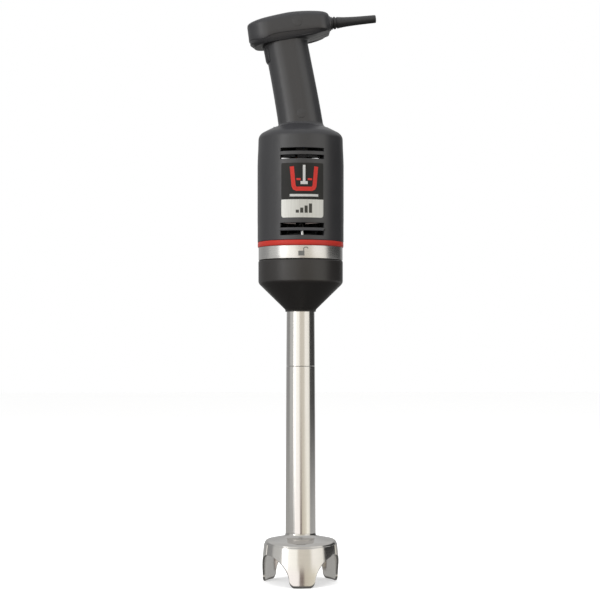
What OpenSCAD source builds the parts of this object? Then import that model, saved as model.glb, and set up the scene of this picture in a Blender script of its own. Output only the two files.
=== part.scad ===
// Hand-held immersion blender with a detachable stainless arm.
// Origin on the spindle axis at the level of the guard's feet; +Z up, front towards -Y,
// the grip leans towards -X and the cord leaves towards +X.

/* [Arm] */
// Outer diameter of the bell guard
guard_d = 82; // [70:1:98]
// Height of the guard, foot to tube
guard_h = 51.3; // [48:0.1:60]
// Diameter of the tube where it meets the guard
tube_foot_d = 31; // [28:0.2:36]
// Diameter of the tube where it enters the collar
tube_top_d = 28.6; // [26:0.2:31]
// Visible length of the lower tube
lower_tube_l = 171.3; // [120:0.1:300]
// Visible length of the upper tube
upper_tube_l = 55.9; // [40:0.1:90]
// Height of the collar
collar_h = 52.5; // [50:0.1:60]
// Diameter across the blades
blade_d = 58; // [48:1:60]

/* [Motor unit] */
// Largest diameter of the motor casing
casing_d = 88.6; // [84:0.2:106]
// Height of the motor casing up to the handle
casing_h = 117.8; // [112:0.1:150]
// Height of the steel lock band
band_h = 13.2; // [13:0.1:18]
// Height of the soft trim ring
ring_h = 5.6; // [4.6:0.1:8]
// Wall of the plastic casing
casing_wall = 2.6; // [2:0.1:3.2]

/* [Handle] */
// Grip width, finger side to palm side
grip_w = 44.2; // [40:0.1:48]
// Grip thickness, front to rear
grip_t = 41; // [38:0.1:46]
// Lean of the grip from the vertical
grip_lean = 10.5; // [9:0.1:12]
// Length of the head along its top
head_l = 83.5; // [80:0.1:94]
// Width of the head, front to rear
head_t = 50; // [48:0.1:60]
// Wall of the handle shells
shell_wall = 2.6; // [2:0.1:3]

/* [Bayonet] */
// Angle the arm is turned through to unlock it
unlock_angle = 40; // [32:1:44]

/* [View] */
// Part to draw

/* [Hidden] */
$fn = 96;
e = 0.01;             // overlap that keeps a cut from ending flush
run_fit = 0.05;       // radial clearance of a running fit
gap = 0.3;            // clearance between bodies that pass each other
seat = 0.1;           // clearance of a seated part

// Levels, from the foot up
z_seam = guard_h + lower_tube_l;
z_collar = z_seam + upper_tube_l;
z_band = z_collar + collar_h;
z_ring = z_band + band_h;
z_case = z_ring + ring_h;
z_neck = z_case + casing_h;

// Radii
guard_r = guard_d / 2;
case_r = casing_d / 2;
case_low_r = case_r - 0.1;
case_in_r = case_low_r - casing_wall;
band_r = case_r - 1.1;
band_wall = 1.2;
ring_r = case_r - 0.3;
collar_r = case_r - 0.9;
tube_foot_r = tube_foot_d / 2;
tube_top_r = tube_top_d / 2;
tube_wall = 1.5;
tube_seam_r = tube_top_r + (tube_foot_r - tube_top_r) * 0.3;
tube_in_r = tube_top_r - tube_wall;

// Spindle
shaft_r = 4;
motor_shaft_r = 5;
top_journal_r = 4;

// Angles
lobe_angles = [-90, 30, 150];
window_angles = [-30, 90, 210];
post_angles = [45, 135, 225, 315];
boss_angles = [0, 90, 180, 270];
lug_angles = [0, 120, 240];

// Points of an arc in the order of its angles
function arc(c, r, a0, a1, n = 6) =
    [for (i = [0:n]) let (a = a0 + (a1 - a0) * i / n) [c.x + r * cos(a), c.y + r * sin(a)]];

module revolve(points) rotate_extrude() polygon(points);

module ring(ro, ri, z0, z1) rotate_extrude() translate([ri, z0]) square([ro - ri, z1 - z0]);

module disc(r, z0, z1) translate([0, 0, z0]) cylinder(r = r, h = z1 - z0);

module sector(ro, ri, z0, z1, a0, a1)
    rotate([0, 0, a0]) rotate_extrude(angle = a1 - a0) translate([ri, z0]) square([ro - ri, z1 - z0]);

module around(angles) for (a = angles) rotate([0, 0, a]) children();

module box(x0, x1, y0, y1, z0, z1) translate([x0, y0, z0]) cube([x1 - x0, y1 - y0, z1 - z0]);

// A block with its four upright edges rounded
module pill(w, d, r) {
    square([w - 2 * r, d], center = true);
    square([w, d - 2 * r], center = true);
    for (x = [-1, 1], y = [-1, 1]) translate([x * (w / 2 - r), y * (d / 2 - r)]) circle(r = r);
}

// A coil along +Z built of half turns, each tilted so that its ends meet the next
module coil(r, wire_r, pitch, half_turns) {
    tilt = asin(pitch / 4 / r);
    for (i = [0:half_turns - 1]) translate([0, 0, pitch * (i + 0.5) / 2]) rotate([0, 0, 180 * i])
        rotate([0, tilt, 0]) rotate_extrude(angle = 180, $fn = 12) translate([r, 0])
            circle(r = wire_r, $fn = 8);
}

/* ---------- Guard and blade ---------- */

panel_top = guard_h - 10.8;   // upper edge of the raised lobe panels
panel_step = 0.5;
panel_half = 52;              // half of the angle a panel spans
window_top = guard_h - 20.3;
window_r = guard_r * 0.656;
lobe_corner = guard_r * 0.17;
lobe_half = guard_r * sin(60 - asin(window_r / guard_r));
hub_r = tube_in_r - 0.2;
hub_low = guard_h - 17.8;
seal_r = hub_r - 2.8;
bush_r = hub_r - 5;
seal_low = hub_low + 1.6;
bush_low = seal_low + 6;
bush_high = guard_h + 6;
spigot_high = guard_h + 9;

// Outline of a panel, from the foot up
function panel_line(d) = [
    [guard_r - d, 0], [guard_r - d, panel_top * 0.3], [guard_r - 0.4 - d, panel_top * 0.57],
    [guard_r - 1.1 - d, panel_top * 0.78], [guard_r - 1.5 - d, panel_top * 0.89],
    [guard_r - 2.1 - d, panel_top]];

guard_wall = 1.7;
shoulder_r = guard_r - 2.1 - panel_step;

module guard_dome() {
    revolve(concat(
        [[0, 0]], panel_line(panel_step),
        arc([shoulder_r - 4, panel_top], 4, 15, 75, 5),
        [[shoulder_r * 0.72, panel_top + 5.2], [tube_foot_r + 3.9, guard_h - 3.9]],
        arc([tube_foot_r + 3.9, guard_h], 3.9, 255, 180, 5),
        [[0, guard_h]]));
    around(lobe_angles) rotate([0, 0, -panel_half]) rotate_extrude(angle = 2 * panel_half)
        polygon(concat(panel_line(0), [[shoulder_r - 1, panel_top], [shoulder_r - 1, 0]]));
}

module guard_hollow() revolve(concat(
    [[0, -1], [guard_r - panel_step - guard_wall, -1], [guard_r - panel_step - guard_wall, panel_top * 0.4]],
    arc([shoulder_r - 4 - guard_wall, panel_top - guard_wall], 4, 10, 75, 5),
    [[shoulder_r * 0.72, panel_top + 3.2], [hub_r + 1, guard_h - 7], [0, guard_h - 7]]));

// Cuts through the wall, drawn as seen from outside
module window_cut() {
    translate([0, window_top - window_r]) circle(r = window_r);
    translate([-window_r, -1]) square([2 * window_r, window_top - window_r + 1]);
}

module lobe_trim() difference() {
    translate([-lobe_half - 4, -1]) square([2 * lobe_half + 8, lobe_corner + 1]);
    for (x = [-1, 1]) translate([x * (lobe_half - lobe_corner), lobe_corner]) circle(r = lobe_corner);
    translate([lobe_corner - lobe_half, -2]) square([2 * (lobe_half - lobe_corner), lobe_corner + 3]);
}

module through_wall(a) rotate([0, 0, a]) rotate([90, 0, 90]) translate([0, 0, guard_r * 0.45])
    linear_extrude(guard_r * 0.6) children();

module guard() color("silver") {
    difference() {
        guard_dome();
        guard_hollow();
        for (a = window_angles) through_wall(a) window_cut();
        for (a = lobe_angles) through_wall(a) lobe_trim();
        disc(bush_r, guard_h - 9, guard_h + 1);
    }
    difference() {
        disc(hub_r, hub_low, spigot_high);
        disc(seal_r, hub_low - e, bush_low);
        disc(bush_r, bush_low - e, bush_high);
        disc(bush_r - 2, bush_high - e, spigot_high + e);
    }
}

module shaft_seal() color([0.15, 0.15, 0.15]) revolve([
    [seal_r, seal_low], [seal_r, bush_low], [seal_r - 1.6, bush_low], [shaft_r + gap, bush_low - 1.2],
    [shaft_r + gap, bush_low - 2.2], [seal_r - 2.4, bush_low - 2.6], [shaft_r + 1.2, seal_low + 1.4],
    [shaft_r + 1.2, seal_low]]);

module seal_clip() color("gray") difference() {
    ring(seal_r, seal_r - 1.8, hub_low + 0.2, seal_low);
    box(0, seal_r + 1, -2.2, 2.2, hub_low, seal_low + e);
}

blade_low = hub_low - 13;
blade_high = blade_low + 9.5;
wing_z = blade_low + 6;
blade_hub_r = 7;
wing_t = 1.6;
long_wing = blade_d / 2;
short_wing = blade_d * 0.36;

// A wing that lies along +X, with its tip bent by the given angle
module wing(length, width, bend) {
    root = blade_hub_r + 4;
    translate([blade_hub_r - 1.5, -width / 2, -wing_t / 2]) cube([root - blade_hub_r + 1.5, width, wing_t]);
    translate([root - 0.15, 0, 0]) rotate([0, -bend, 0]) translate([0, 0, -wing_t / 2])
        linear_extrude(wing_t) polygon([[0, -width / 2 + 0.05], [(length - root) * 0.5, -width / 2 + 0.05],
            [length - root - 2, -width * 0.16], [length - root - 0.4, 0], [length - root - 1, width * 0.3],
            [(length - root) * 0.8, width / 2 - 0.05], [0, width / 2 - 0.05]]);
}

module blade() color("gainsboro") difference() {
    union() {
        disc(blade_hub_r, blade_low, blade_high);
        for (a = [-90, 90]) rotate([0, 0, a]) translate([0, 0, wing_z]) wing(long_wing, 12, 9);
        for (a = [0, 180]) rotate([0, 0, a]) translate([0, 0, wing_z - 2.4]) wing(short_wing, 10, -14);
    }
    disc(shaft_r, blade_low - e, blade_high + e);
}

module blade_screw() color("silver") {
    intersection() {
        disc(5.6, blade_low - 2.8, blade_low);
        translate([0, 0, blade_low + 5.2]) sphere(r = 8);
    }
    disc(2.45, blade_low - e, blade_low + 14);
}

module arm_shaft() color("silver") difference() {
    union() {
        disc(shaft_r, blade_low, arm_shaft_high);
        disc(shaft_r + 1.6, blade_high, hub_low + 1.2);
    }
    disc(2.5, blade_low - e, blade_low + 15);
}

/* ---------- Tubes and collar ---------- */

collar_floor = z_collar + 10.2;       // top of the collar's neck, where the hub starts
tube_end = collar_floor + 11.3;
hub_top = z_collar + 37.5;
bearing_low = tube_end + 3;
bearing_high = bearing_low + 7;
arm_bearing_r = 11;
arm_cavity_r = collar_r - 3.4;
arm_shaft_high = hub_top + 8.5;

module lower_tube() color("lightgray") {
    revolve([[hub_r, guard_h], [tube_foot_r, guard_h], [tube_seam_r + 0.1, z_seam],
        [tube_in_r, z_seam], [tube_in_r, spigot_high + 2], [hub_r, spigot_high + 1]]);
}

module upper_tube() color("lightgray") {
    revolve([[tube_in_r, z_seam], [tube_seam_r, z_seam], [tube_top_r, z_collar],
        [tube_top_r, tube_end], [tube_in_r, tube_end]]);
    ring(tube_in_r + e, tube_in_r - 1, z_seam, z_seam + 6);
    ring(tube_in_r - 0.03, tube_in_r - 1, z_seam - 14, z_seam + 1);
}

module arm_collar() color([0.2, 0.19, 0.18]) revolve(concat(
    [[tube_top_r, z_collar], [tube_top_r + 1.3, z_collar]],
    arc([tube_top_r + 5, z_collar + 0.4], 3.7, 175, 135, 3),
    arc([collar_r - 6, z_band - 20.8], 6, -45, 0, 4),
    arc([collar_r - 1.5, z_band - 1.5], 1.5, 0, 90, 4),
    [[arm_cavity_r, z_band], [arm_cavity_r, z_band - 22.9],
     [tube_top_r + 4.9, collar_floor], [tube_top_r, collar_floor]]));

module arm_hub() color("silver") difference() {
    revolve([[tube_top_r, collar_floor], [tube_top_r + 4.6, collar_floor],
        [arm_cavity_r, z_band - 22.5], [arm_cavity_r, hub_top], [13.5, hub_top],
        [13.5, hub_top - 2], [arm_bearing_r, bearing_high], [arm_bearing_r, bearing_low],
        [shaft_r + 4, bearing_low], [shaft_r + 4, tube_end], [tube_top_r, tube_end]]);
    around(lug_angles) translate([arm_cavity_r - 4.6, 0, hub_top - 7]) cylinder(r = 1.7, h = 8);
}

// Outer race of a ball bearing with its balls
module bearing_outer(ro, z0, z1, balls) {
    difference() {
        ring(ro, ro - 3, z0, z1);
        translate([0, 0, (z0 + z1) / 2]) rotate_extrude() translate([ro - 4, 0]) circle(r = 1.9);
    }
    for (i = [0:balls - 1]) rotate([0, 0, 360 * i / balls])
        translate([ro - 4, 0, (z0 + z1) / 2]) sphere(r = 1.85);
}

module bearing_inner(ri, ro, z0, z1) difference() {
    ring(ro, ri, z0, z1);
    translate([0, 0, (z0 + z1) / 2]) rotate_extrude() translate([ro + 1, 0]) circle(r = 1.9);
}

module arm_bearing_outer() color("silver") bearing_outer(arm_bearing_r, bearing_low, bearing_high, 9);

module arm_bearing_inner() color("silver")
    bearing_inner(shaft_r, arm_bearing_r - 5, bearing_low, bearing_high);

module coupling_seal() color([0.15, 0.15, 0.15]) ring(17, 13.8, hub_top, hub_top + 2.4);

// One bush in the guard and one half way up the tube
module shaft_bushes() color("peru") {
    ring(bush_r, shaft_r + run_fit, bush_low, bush_high);
    ring(tube_in_r - 1, shaft_r + run_fit, z_seam - 10, z_seam - 2);
}

// Bayonet
bay_r = band_r - 7.2;                 // outside of the arm's ring
lug_r = band_r - 4.2;
lug_half = 14;
lug_low = z_band + 3.6;
lug_high = lug_low + 3.6;
lug_start = -unlock_angle;            // angle of a lug from its way out, when locked

module bayonet_ring() color("silver") difference() {
    union() {
        ring(arm_cavity_r, bay_r - 4, hub_top, hub_top + 3.5);
        ring(bay_r, bay_r - 4, hub_top, z_band + 11);
        around(lug_angles) rotate([0, 0, lug_start])
            sector(lug_r, bay_r - 1, lug_low, lug_high, -lug_half, lug_half);
    }
    around(lug_angles) translate([arm_cavity_r - 4.6, 0, hub_top - e]) cylinder(r = 2, h = 4);
    around(lug_angles) translate([arm_cavity_r - 4.6, 0, hub_top + 3.5]) cylinder(r = 4, h = 12);
}

module ring_screws() color("gray") around(lug_angles) translate([arm_cavity_r - 4.6, 0, 0]) {
    disc(1.65, hub_top - 6, hub_top + 3.6);
    difference() {
        disc(3.4, hub_top + 3.5, hub_top + 6.3);
        translate([0, 0, hub_top + 4.8]) cylinder(r = 1.7, h = 2, $fn = 6);
    }
}

/* ---------- Lock band, socket and trim ring ---------- */

socket_r = band_r - band_wall;

module lock_band() color("silver") ring(band_r, socket_r, z_band + gap, z_ring);

module bayonet_socket() color([0.25, 0.25, 0.26]) difference() {
    disc(socket_r, z_band + 0.6, z_ring);
    disc(bay_r + gap, z_band, z_band + 11.5);
    around(lug_angles) sector(lug_r + 0.6, bay_r - 1, z_band, lug_low + 1, -lug_half - 3, lug_half + 3);
    around(lug_angles) sector(lug_r + 0.4, bay_r - 1.5, lug_low - gap, lug_high + gap,
        lug_start - lug_half - 0.6, lug_half + 1.2);
    disc(15, z_band + 11, z_ring + e);
}

module trim_ring() color([0.8, 0.2, 0.16]) revolve(concat(
    [[case_low_r - 3.1, z_ring]],
    arc([ring_r - 1, z_ring + 1], 1, -90, -15, 4),
    [[ring_r + 0.15, z_ring + ring_h / 2]],
    arc([ring_r - 1, z_case - 1], 1, 15, 90, 4),
    [[case_low_r - 3.1, z_case]]));

/* ---------- Motor ---------- */

fan_low = z_case + 5.2;
stator_low = z_case + 28;
stator_h = 35;
stator_high = stator_low + stator_h;
stator_r = case_in_r - 4;
rotor_r = 20.6;
post_r = stator_r - 3.6;
boss_r = case_in_r - 3.9;
low_bearing_r = 13;
low_bearing_low = z_ring + 1;
low_bearing_high = low_bearing_low + 8;
comm_low = stator_high + 11;
comm_high = comm_low + 13;
comm_r = 11;
top_plate = comm_high + 3.5;
top_bearing_low = top_plate + 1;
top_bearing_high = top_bearing_low + 7;

module lower_bracket() color("silver") difference() {
    union() {
        disc(case_low_r - 3.2, z_ring, z_case);
        disc(low_bearing_r + 4, z_ring, low_bearing_high + 1.2);
        around(post_angles) translate([post_r, 0, 0]) disc(3.6, z_ring, stator_low);
    }
    disc(low_bearing_r, z_ring - e, low_bearing_high);
    disc(motor_shaft_r + 3, z_ring, low_bearing_high + 2);
    around(post_angles) translate([post_r, 0, 0]) disc(2.1, z_ring - e, stator_low + 1);
    around(post_angles) translate([post_r, 0, 0]) disc(3.3, z_ring - e, z_ring + 3);
    around(boss_angles) translate([boss_r, 0, 0]) disc(1.8, z_ring - e, z_case + e);
    around(boss_angles) translate([boss_r, 0, 0]) disc(3.2, z_ring - e, z_ring + 2.6);
    around([20, 65, 110, 155, 200, 245, 290, 335]) translate([24, 0, 0]) disc(3.4, z_ring - e, z_case + e);
}

module lower_bearing_outer() color("silver")
    bearing_outer(low_bearing_r, low_bearing_low, low_bearing_high, 10);

module lower_bearing_inner() color("silver")
    bearing_inner(motor_shaft_r, low_bearing_r - 5, low_bearing_low, low_bearing_high);

module casing_screws() color("gray") around(boss_angles) translate([boss_r, 0, 0]) {
    disc(1.6, z_ring + 2, z_case + 9);
    difference() {
        disc(3, z_ring + 0.3, z_ring + 2.6);
        translate([0, 0, z_ring + 0.2]) box(-2.6, 2.6, -0.4, 0.4, 0, 1.1);
        translate([0, 0, z_ring + 0.2]) box(-0.4, 0.4, -2.6, 2.6, 0, 1.1);
    }
}

module stator_core() color([0.45, 0.46, 0.48]) difference() {
    intersection() {
        disc(stator_r, stator_low, stator_high);
        box(-stator_r, stator_r, -stator_r * 0.9, stator_r * 0.9, stator_low, stator_high);
    }
    disc(rotor_r + 0.5, stator_low - 1, stator_high + 1);
    for (a = [40, 140, 220, 320])
        sector(rotor_r + 8.5, rotor_r, stator_low - 1, stator_high + 1, a - 16, a + 16);
    around(post_angles) translate([post_r, 0, 0]) disc(2.1, stator_low - 1, stator_high + 1);
}

// One coil for each pole; its legs fill the slots and its ends arch over the core
module field_coils() color([0.72, 0.42, 0.22]) for (side = [0, 180]) rotate([0, 0, side]) {
    for (a = [40, -40])
        sector(rotor_r + 8.46, rotor_r + 1.4, stator_low - 6.5, stator_high + 6.5, a - 14.5, a + 14.5);
    for (z = [stator_low - 6, stator_high + 0.8])
        sector(rotor_r + 8, rotor_r + 1.8, z, z + 5.2, -40, 40);
}

module motor_bolts() color("gray") around(post_angles) translate([post_r, 0, 0]) {
    disc(1.95, z_ring + 2, top_plate + 4);
    difference() {
        disc(3.1, z_ring + 0.4, z_ring + 3);
        translate([0, 0, z_ring]) box(-0.45, 0.45, -2.6, 2.6, 0, 1.6);
    }
    translate([0, 0, top_plate + 3.5]) cylinder(r = 3.6, h = 2.6, $fn = 6);
}

module upper_bracket() color("silver") difference() {
    union() {
        intersection() {
            disc(stator_r, top_plate, top_plate + 3.5);
            union() for (a = [45, 135]) rotate([0, 0, a])
                box(-stator_r, stator_r, -7, 7, top_plate, top_plate + 3.5);
        }
        disc(arm_bearing_r + 3.2, top_plate, top_bearing_high + 1);
        around(post_angles) translate([post_r, 0, 0]) disc(3.6, stator_high, top_plate + 3.5);
        for (a = [-90, 90]) rotate([0, 0, a]) box(8, 29, -6, 6, top_plate, top_plate + 2.4);
    }
    disc(top_journal_r + 3, top_plate - 1, top_bearing_high + 2);
    disc(arm_bearing_r, top_bearing_low, top_bearing_high);
    around(post_angles) translate([post_r, 0, 0]) disc(2.1, stator_high - 1, top_plate + 4);
    disc(motor_shaft_r + 3, top_plate - 1, top_bearing_low);
}

module upper_bearing_outer() color("silver")
    bearing_outer(arm_bearing_r, top_bearing_low, top_bearing_high, 9);

module upper_bearing_inner() color("silver")
    bearing_inner(top_journal_r, arm_bearing_r - 5, top_bearing_low, top_bearing_high);

brush_z = (comm_low + comm_high) / 2;
brush_w = 5;
brush_h = 7;

module brush_holders() color("gold") for (a = [-90, 90]) rotate([0, 0, a]) difference() {
    union() {
        box(comm_r + 2, comm_r + 16, -4.2, 4.2, brush_z - 5, top_plate);
        box(comm_r + 15.4, comm_r + 17, -4.2, 4.2, brush_z - 5, top_plate);
    }
    box(comm_r + 1, comm_r + 15.4, -brush_w / 2 - seat, brush_w / 2 + seat,
        brush_z - brush_h / 2 - seat, brush_z + brush_h / 2 + seat);
}

module carbon_brushes() color([0.15, 0.15, 0.16]) for (a = [-90, 90]) rotate([0, 0, a]) difference() {
    box(comm_r - 1, comm_r + 9, -brush_w / 2, brush_w / 2, brush_z - brush_h / 2, brush_z + brush_h / 2);
    disc(comm_r + gap, brush_z - brush_h, brush_z + brush_h);
}

module brush_springs() color("silver") for (a = [-90, 90]) rotate([0, 0, a])
    translate([comm_r + 9, 0, brush_z]) rotate([0, 90, 0])
        translate([0, 0, 0.4]) coil(1.6, 0.35, 1.4, 8);

module motor_shaft() color("silver") {
    disc(motor_shaft_r, dog_high - 8, comm_high + 1);
    disc(top_journal_r, comm_high, top_bearing_high + 0.6);
}

module rotor_core() color([0.45, 0.46, 0.48]) difference() {
    ring(rotor_r, motor_shaft_r, stator_low, stator_high);
    for (i = [0:11]) rotate([0, 0, i * 30])
        box(rotor_r - 5, rotor_r + 1, -1, 1, stator_low - 1, stator_high + 1);
}

module rotor_winding() color([0.72, 0.42, 0.22]) {
    for (z = [stator_low - 7.5, stator_high])
        ring(rotor_r - 1.6, motor_shaft_r + 2, z, z + 7.5);
    for (i = [0:11]) rotate([0, 0, i * 30])
        box(rotor_r - 4.8, rotor_r - 1.7, -0.9, 0.9, stator_low - 1, stator_high + 1);
}

module commutator() color("peru") difference() {
    union() {
        ring(comm_r, motor_shaft_r, comm_low, comm_high);
        ring(comm_r + 1.6, motor_shaft_r, comm_low - 3, comm_low + 1.4);
    }
    for (i = [0:23]) rotate([0, 0, i * 15])
        box(comm_r - 1, comm_r + 2, -0.25, 0.25, comm_low - 4, comm_high + 1);
}

fan_r = post_r - 4.2;

module cooling_fan() color([0.3, 0.3, 0.32]) {
    difference() {
        union() {
            disc(8.5, fan_low, fan_low + 11);
            disc(fan_r, fan_low, fan_low + 1.6);
        }
        disc(motor_shaft_r, fan_low - 1, fan_low + 12);
    }
    for (i = [0:10]) rotate([0, 0, i * 360 / 11])
        translate([8, 0, fan_low]) rotate([0, 0, 14]) translate([0, -0.7, 0]) cube([fan_r - 9.4, 1.4, 11]);
}

// Drive dogs: three jaws of one fit between the three of the other
dog_low = arm_shaft_high + 0.6;
dog_high = dog_low + 12;
dog_r = 10.5;
jaw_r = dog_r - 0.4;
jaw_in_r = motor_shaft_r + 0.6;

module drive_dog() color([0.3, 0.3, 0.32]) {
    ring(dog_r, motor_shaft_r, dog_low + 3.6, dog_high);
    around([0, 120, 240]) sector(jaw_r, jaw_in_r, dog_low - 3.4, dog_low + 4.6, -26, 26);
}

module driven_dog() color("dimgray") {
    ring(dog_r, shaft_r, dog_low - 8, dog_low - 3.8);
    around([60, 180, 300]) sector(jaw_r, jaw_in_r, dog_low - 4.8, dog_low + 3.2, -26, 26);
}

/* ---------- Motor casing ---------- */

slot_half = 30;
slot_h = 4.8;
slot_levels = [4.5, 12.1, 81.1, 88.7];
label_low = 22;
badge_h = 18.1;
label_h = 36.5;
label_half = 28.2;
label_t = 0.35;
roof_r = 28;
mouth_r = 19;
roof_t = casing_wall;

// Outline of the casing, from the trim ring up
case_line = concat(
    [[case_low_r, z_case], [case_r - 0.1, z_case + 18], [case_r, z_case + 21], [case_r, z_case + 78],
     [case_r - 0.5, z_case + 92]],
    arc([case_r - 9.3, z_neck - 13], 8.2, 0, 64, 6),
    [[roof_r, z_neck]]);

module motor_casing() color([0.33, 0.33, 0.34]) difference() {
    union() {
        revolve(concat(case_line, [
            [mouth_r, z_neck], [mouth_r, z_neck - roof_t], [roof_r, z_neck - roof_t],
            [case_r - 9.3 + 3.4, z_neck - 13 + 4.3], [case_r - 0.9 - casing_wall, z_neck - 14.5],
            [case_in_r, z_case + 80], [case_in_r, z_case]]));
        around(boss_angles) intersection() {
            translate([boss_r, 0, 0]) union() {
                disc(4, z_case, z_case + 12);
                box(0, 6, -2, 2, z_case, z_case + 12);
            }
            disc(case_in_r + 1, z_case, z_case + 13);
        }
    }
    around(boss_angles) translate([boss_r, 0, 0]) disc(1.62, z_case - e, z_case + 10);
    for (z = slot_levels, a = [-90, 90]) translate([0, 0, z_case + z])
        sector(case_r + 1, case_in_r - 1, 0, slot_h, a - slot_half, a + slot_half);
}

module label_plate() color([0.12, 0.12, 0.12])
    sector(case_r + label_t, case_r, z_case + label_low + badge_h, z_case + label_low + badge_h + label_h,
        -90 - label_half, -90 + label_half);

module rating_badge() color([0.8, 0.8, 0.82])
    sector(case_r + label_t, case_r, z_case + label_low, z_case + label_low + badge_h,
        -90 - label_half, -90 + label_half);

/* ---------- Handle ---------- */

head_z = z_neck + 95.7;       // lower edge of the head above the spindle
head_tilt = 7.5;
head_left = head_l - 29.5;
head_right = 29.5;
crown = 21.2;                 // height of the head above its lower edge
crown_r = 165;
grip_x = 0.8;                 // offset of the grip's centre line at its foot
grip_round = 17.5;
foot_flange_r = roof_r - 5;

module grip_frame() translate([grip_x, 0, z_neck]) rotate([0, -grip_lean, 0]) children();

module head_frame() translate([0, 0, head_z]) rotate([0, -head_tilt, 0]) children();

module side_on(y0, y1) translate([0, y1, 0]) rotate([90, 0, 0]) linear_extrude(y1 - y0) children();

module head_plan(d) {
    for (y = [-1, 1]) {
        translate([-head_left + 22, y * (head_t / 2 - 22)]) circle(r = 22 - d);
        translate([head_right - 12, y * (head_t / 2 - 12)]) circle(r = 12 - d);
    }
    translate([-head_left + 22, -head_t / 2 + d]) square([head_l - 34, head_t - 2 * d]);
    translate([-head_left + d, -head_t / 2 + 22]) square([22, head_t - 44]);
    translate([head_right - 14, -head_t / 2 + 12]) square([14 - d, head_t - 24]);
}

function crown_at(x) = crown - (x + 12) * (x + 12) / (2 * crown_r);

// Band of the head; d shrinks it for the cavity
module head_band(d, floor_z) intersection() {
    translate([0, 0, floor_z]) linear_extrude(crown + 12) head_plan(d);
    side_on(-head_t, head_t) polygon(concat(
        [[-head_left + d, floor_z]],
        arc([-head_left + 5, crown_at(-head_left + 5) - 4.8], 5 - d, 180, 105, 5),
        [for (x = [-head_left + 8:6:head_right - 8]) [x, crown_at(x) - d]],
        arc([head_right - 5, crown_at(head_right - 5) - 4.6], 5 - d, 75, 0, 4),
        [[head_right - d, floor_z]]));
    rotate([90, 0, 90]) translate([0, 0, -head_l]) linear_extrude(2 * head_l) union() {
        translate([-head_t / 2 + d, floor_z]) square([head_t - 2 * d, crown - 7 - floor_z]);
        translate([-head_t / 2 + 7, floor_z]) square([head_t - 14, crown - d - floor_z]);
        for (y = [-1, 1]) translate([y * (head_t / 2 - 7), crown - 7]) circle(r = 7 - d);
    }
}

// Narrower body under the band
module head_under(d) intersection() {
    translate([0, 0, -12]) linear_extrude(14) head_plan(1.6 + d);
    side_on(-head_t, head_t) polygon([
        [-head_left + 1.6 + d, 1], [-head_left + 2 + d, -4 + d], [-head_left + 6, -7.4 + d],
        [-head_left + 10, -8 + d], [12, -5.5 + d], [24, -3 + d], [head_right - 1.6 - d, 1]]);
}

module grip_bar(d, low, high) grip_frame() translate([0, 0, low]) linear_extrude(high - low)
    pill(grip_w - 2 * d, grip_t - 2 * d, grip_round - d);

relief_angle = 6.2;
relief_x = 31;
relief_z = z_neck + 107.9;

module relief_frame() translate([relief_x, 0, relief_z]) rotate([0, 90 - relief_angle, 0]) children();

module handle_solid() {
    intersection() {
        grip_bar(0, -12, 97);
        translate([-head_l, -head_t, z_neck]) cube([2 * head_l, 2 * head_t, 100]);
    }
    revolve(concat([[0, z_neck], [roof_r - 0.4, z_neck]],
        arc([roof_r + 0.6, z_neck + 8], 7.7, 262, 188, 5), [[0, z_neck + 8]]));
    disc(mouth_r - seat, z_neck - roof_t - 3, z_neck + e);
    disc(foot_flange_r, z_neck - roof_t - 3.6, z_neck - roof_t - 0.05);
    head_frame() {
        head_band(0, 0);
        head_under(0);
    }
    relief_frame() disc(7.6, -12, 0);
}

module handle_cavity() {
    grip_bar(shell_wall, 6, 92);
    disc(mouth_r - seat - shell_wall, z_neck - 8, z_neck + 9);
    head_frame() {
        head_band(shell_wall, -0.6);
        head_under(shell_wall);
    }
}

// Screw axes, along Y
foot_screw = [-0.3, z_neck + 11.9];
head_screw = [-4.6, z_neck + 104.6];
foot_plug_r = 4.7;
head_plug_r = 5.2;
screw_face = -8;              // where the screw heads sit

module at_screw(p) translate([p.x, 0, p.y]) rotate([90, 0, 0]) children();

module front_bosses() {
    intersection() {
        handle_solid();
        union() {
            at_screw(foot_screw) disc(foot_plug_r + 1.8, 0, head_t);
            at_screw(head_screw) disc(head_plug_r + 1.8, 0, head_t);
        }
    }
}

module front_bores() {
    at_screw(foot_screw) disc(foot_plug_r, -screw_face, head_t);
    at_screw(head_screw) disc(head_plug_r, -screw_face, head_t);
    for (p = [foot_screw, head_screw]) at_screw(p) disc(2.1, -1, head_t);
}

// Trigger opening and pin, in the frame of the grip
trigger_w = 22;
trigger_low = 70.9;
trigger_high = 87.6;
pin_u = -17.5;
pin_s = 92.6;
pin_r = 1.5;

module trigger_opening() grip_frame()
    box(-grip_w / 2 - 6, -grip_w / 2 + 5.5, -trigger_w / 2 - gap, trigger_w / 2 + gap,
        trigger_low - 0.4, pin_s + 3.4);

module pin_boss(y0, y1) grip_frame() translate([pin_u, y1, pin_s]) rotate([90, 0, 0])
    cylinder(r = 3.2, h = y1 - y0);

module pin_bore() grip_frame() translate([pin_u, 17.6, pin_s]) rotate([90, 0, 0])
    cylinder(r = pin_r + 0.02, h = 35.2);

module shell_ribs() {
    pin_boss(-19, -trigger_w / 2 - 0.5);
    pin_boss(trigger_w / 2 + 0.5, 19);
}

module relief_seat() relief_frame() {
    disc(6.55, -14, 1);
    disc(8.85, -9.55, -6.45);
}

module half(front) translate([-100, front ? -100 : 0, z_neck - 40]) cube([200, 100, 200]);

module shell_walls() difference() {
    handle_solid();
    handle_cavity();
    trigger_opening();
    relief_seat();
}

module handle_front_shell() color([0.33, 0.33, 0.34]) intersection() {
    half(true);
    difference() {
        union() {
            shell_walls();
            front_bosses();
            intersection() {
                handle_solid();
                shell_ribs();
            }
        }
        front_bores();
        pin_bore();
    }
}

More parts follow.
